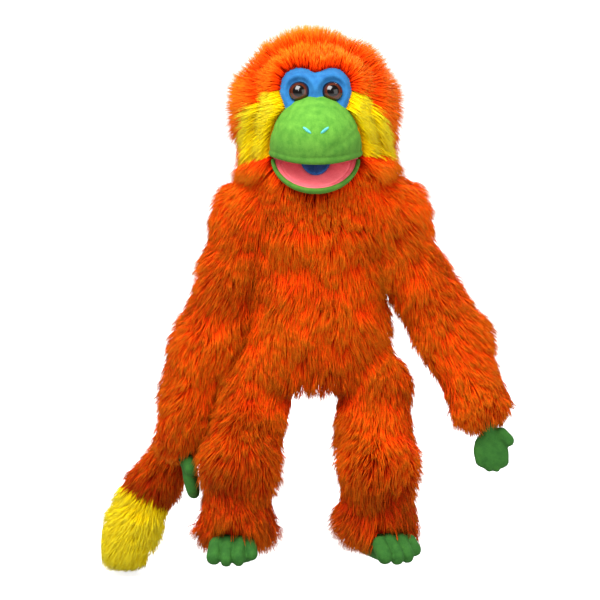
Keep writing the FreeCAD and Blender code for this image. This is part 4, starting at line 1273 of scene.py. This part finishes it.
def make_paws():
    step = 2.4
    made = []
    for word in SIDES:
        wrist, ankle = ARM[word][2], LEG[word][2]
        made.append(net_piece(
            f"{word}_paw", hand_distance(word), wrist + [-34, -34, -66], wrist + [34, 34, 16], step,
            f"{word}_hand", "green_plush", [f"{word}_hand"], material="paw_plush"))
        made.append(net_piece(
            f"{word}_sole", foot_distance(word), ankle + [-60, -76, -40], ankle + [60, 40, 22], step,
            f"{word}_foot", "green_plush", [f"{word}_foot_skin", f"{word}_foot_stuffing"],
            material="paw_plush"))
    return made


def dress_eyes():
    for word, side in SIDES.items():
        facing = unit(np.array([side * 0.12, -0.955, 0.27]))
        material = iris_material(f"{word}_iris", tuple(EYE_PLATE[word] * MM), tuple(facing))
        for part in ("eye_back", "eye_dome"):
            node = frame["nodes"][f"{word}_{part}"]
            node.data.materials.clear()
            node.data.materials.append(material)


def make_soft_parts():
    dress_eyes()
    for made in make_paws():
        swell(made[0], PAW_PRESSURE, PAW_SWELL)
        smooth_once(made[0])
        settle(*made)
    for made in [make_muzzle_piece(), make_mask_piece()] + make_jaw_pieces():
        settle(*made)
    make_mouth_fold()
    make_throat_web()


# ---------------------------------------------------------------- studio, in metres

FLOOR_BELOW, FLOOR_GREY, FLOOR_GLOW = 0.030, (0.46, 0.46, 0.46, 1), 0.80
CAMERA_ELEVATION = math.radians(8)
CAMERA_DISTANCE = 4.0
FIELD_WIDTH = 0.702
LOOK_AT = Vector((-0.018, 0.0, 0.092))
AMBIENT = 1.30
GLOSS_AMBIENT = 0.10


def add_light(name, place, size, power):
    data = bpy.data.lights.new(name, "AREA")
    data.size = size
    data.energy = power
    lamp = bpy.data.objects.new(name, data)
    bpy.context.scene.collection.objects.link(lamp)
    lamp.location = place
    lamp.rotation_euler = (LOOK_AT - Vector(place)).to_track_quat("-Z", "Y").to_euler()


def make_floor():
    bpy.ops.mesh.primitive_plane_add(size=30, location=(0, 0, CAD_BOX[0][2] - FLOOR_BELOW))
    floor = bpy.context.object
    floor.name = "floor"
    material, tree, shader = new_material("floor")
    seen = add_node(tree, "ShaderNodeLightPath", {}).outputs["Is Camera Ray"]
    glow = add_node(tree, "ShaderNodeMath", {0: seen, 1: FLOOR_GLOW}, operation="MULTIPLY")
    set_inputs(tree, shader, {
        "Base Color": FLOOR_GREY, "Roughness": 0.9,
        "Emission Color": (1, 1, 1, 1), "Emission Strength": glow.outputs[0],
    })
    floor.data.materials.append(material)


def make_world():
    """An even white surround: plain white to the camera, and dim in glossy reflections."""
    world = bpy.data.worlds.new("studio")
    world.use_nodes = True
    tree = world.node_tree
    path = add_node(tree, "ShaderNodeLightPath", {})
    strength = AMBIENT
    for ray, change in (("Is Camera Ray", 1.0 - AMBIENT), ("Is Glossy Ray", GLOSS_AMBIENT - AMBIENT)):
        strength = add_node(
            tree, "ShaderNodeMath", {0: path.outputs[ray], 1: change, 2: strength},
            operation="MULTIPLY_ADD").outputs[0]
    set_inputs(tree, tree.nodes["Background"], {0: (1, 1, 1, 1), 1: strength})
    bpy.context.scene.world = world


def make_camera():
    data = bpy.data.cameras.new("camera")
    data.sensor_width = 36
    data.lens = data.sensor_width * CAMERA_DISTANCE / FIELD_WIDTH
    camera = bpy.data.objects.new("camera", data)
    bpy.context.scene.collection.objects.link(camera)
    way = Vector((0, -math.cos(CAMERA_ELEVATION), math.sin(CAMERA_ELEVATION)))
    camera.location = LOOK_AT + way * CAMERA_DISTANCE
    camera.rotation_euler = (-way).to_track_quat("-Z", "Y").to_euler()
    bpy.context.scene.camera = camera


def make_studio():
    make_floor()
    make_world()
    add_light("key", (-0.9, -1.4, 2.5), 1.8, 118)
    add_light("fill", (1.6, -1.8, 0.9), 1.8, 18)
    add_light("back", (0.5, 1.6, 1.7), 1.2, 34)
    make_camera()
    bpy.context.scene.view_settings.view_transform = "Standard"


MATERIALS = make_materials()
dress_nodes(MATERIALS)
FUR = make_fur(MATERIALS)
fasten_fur(FUR)
stand_for_nodes()
make_soft_parts()
make_studio()
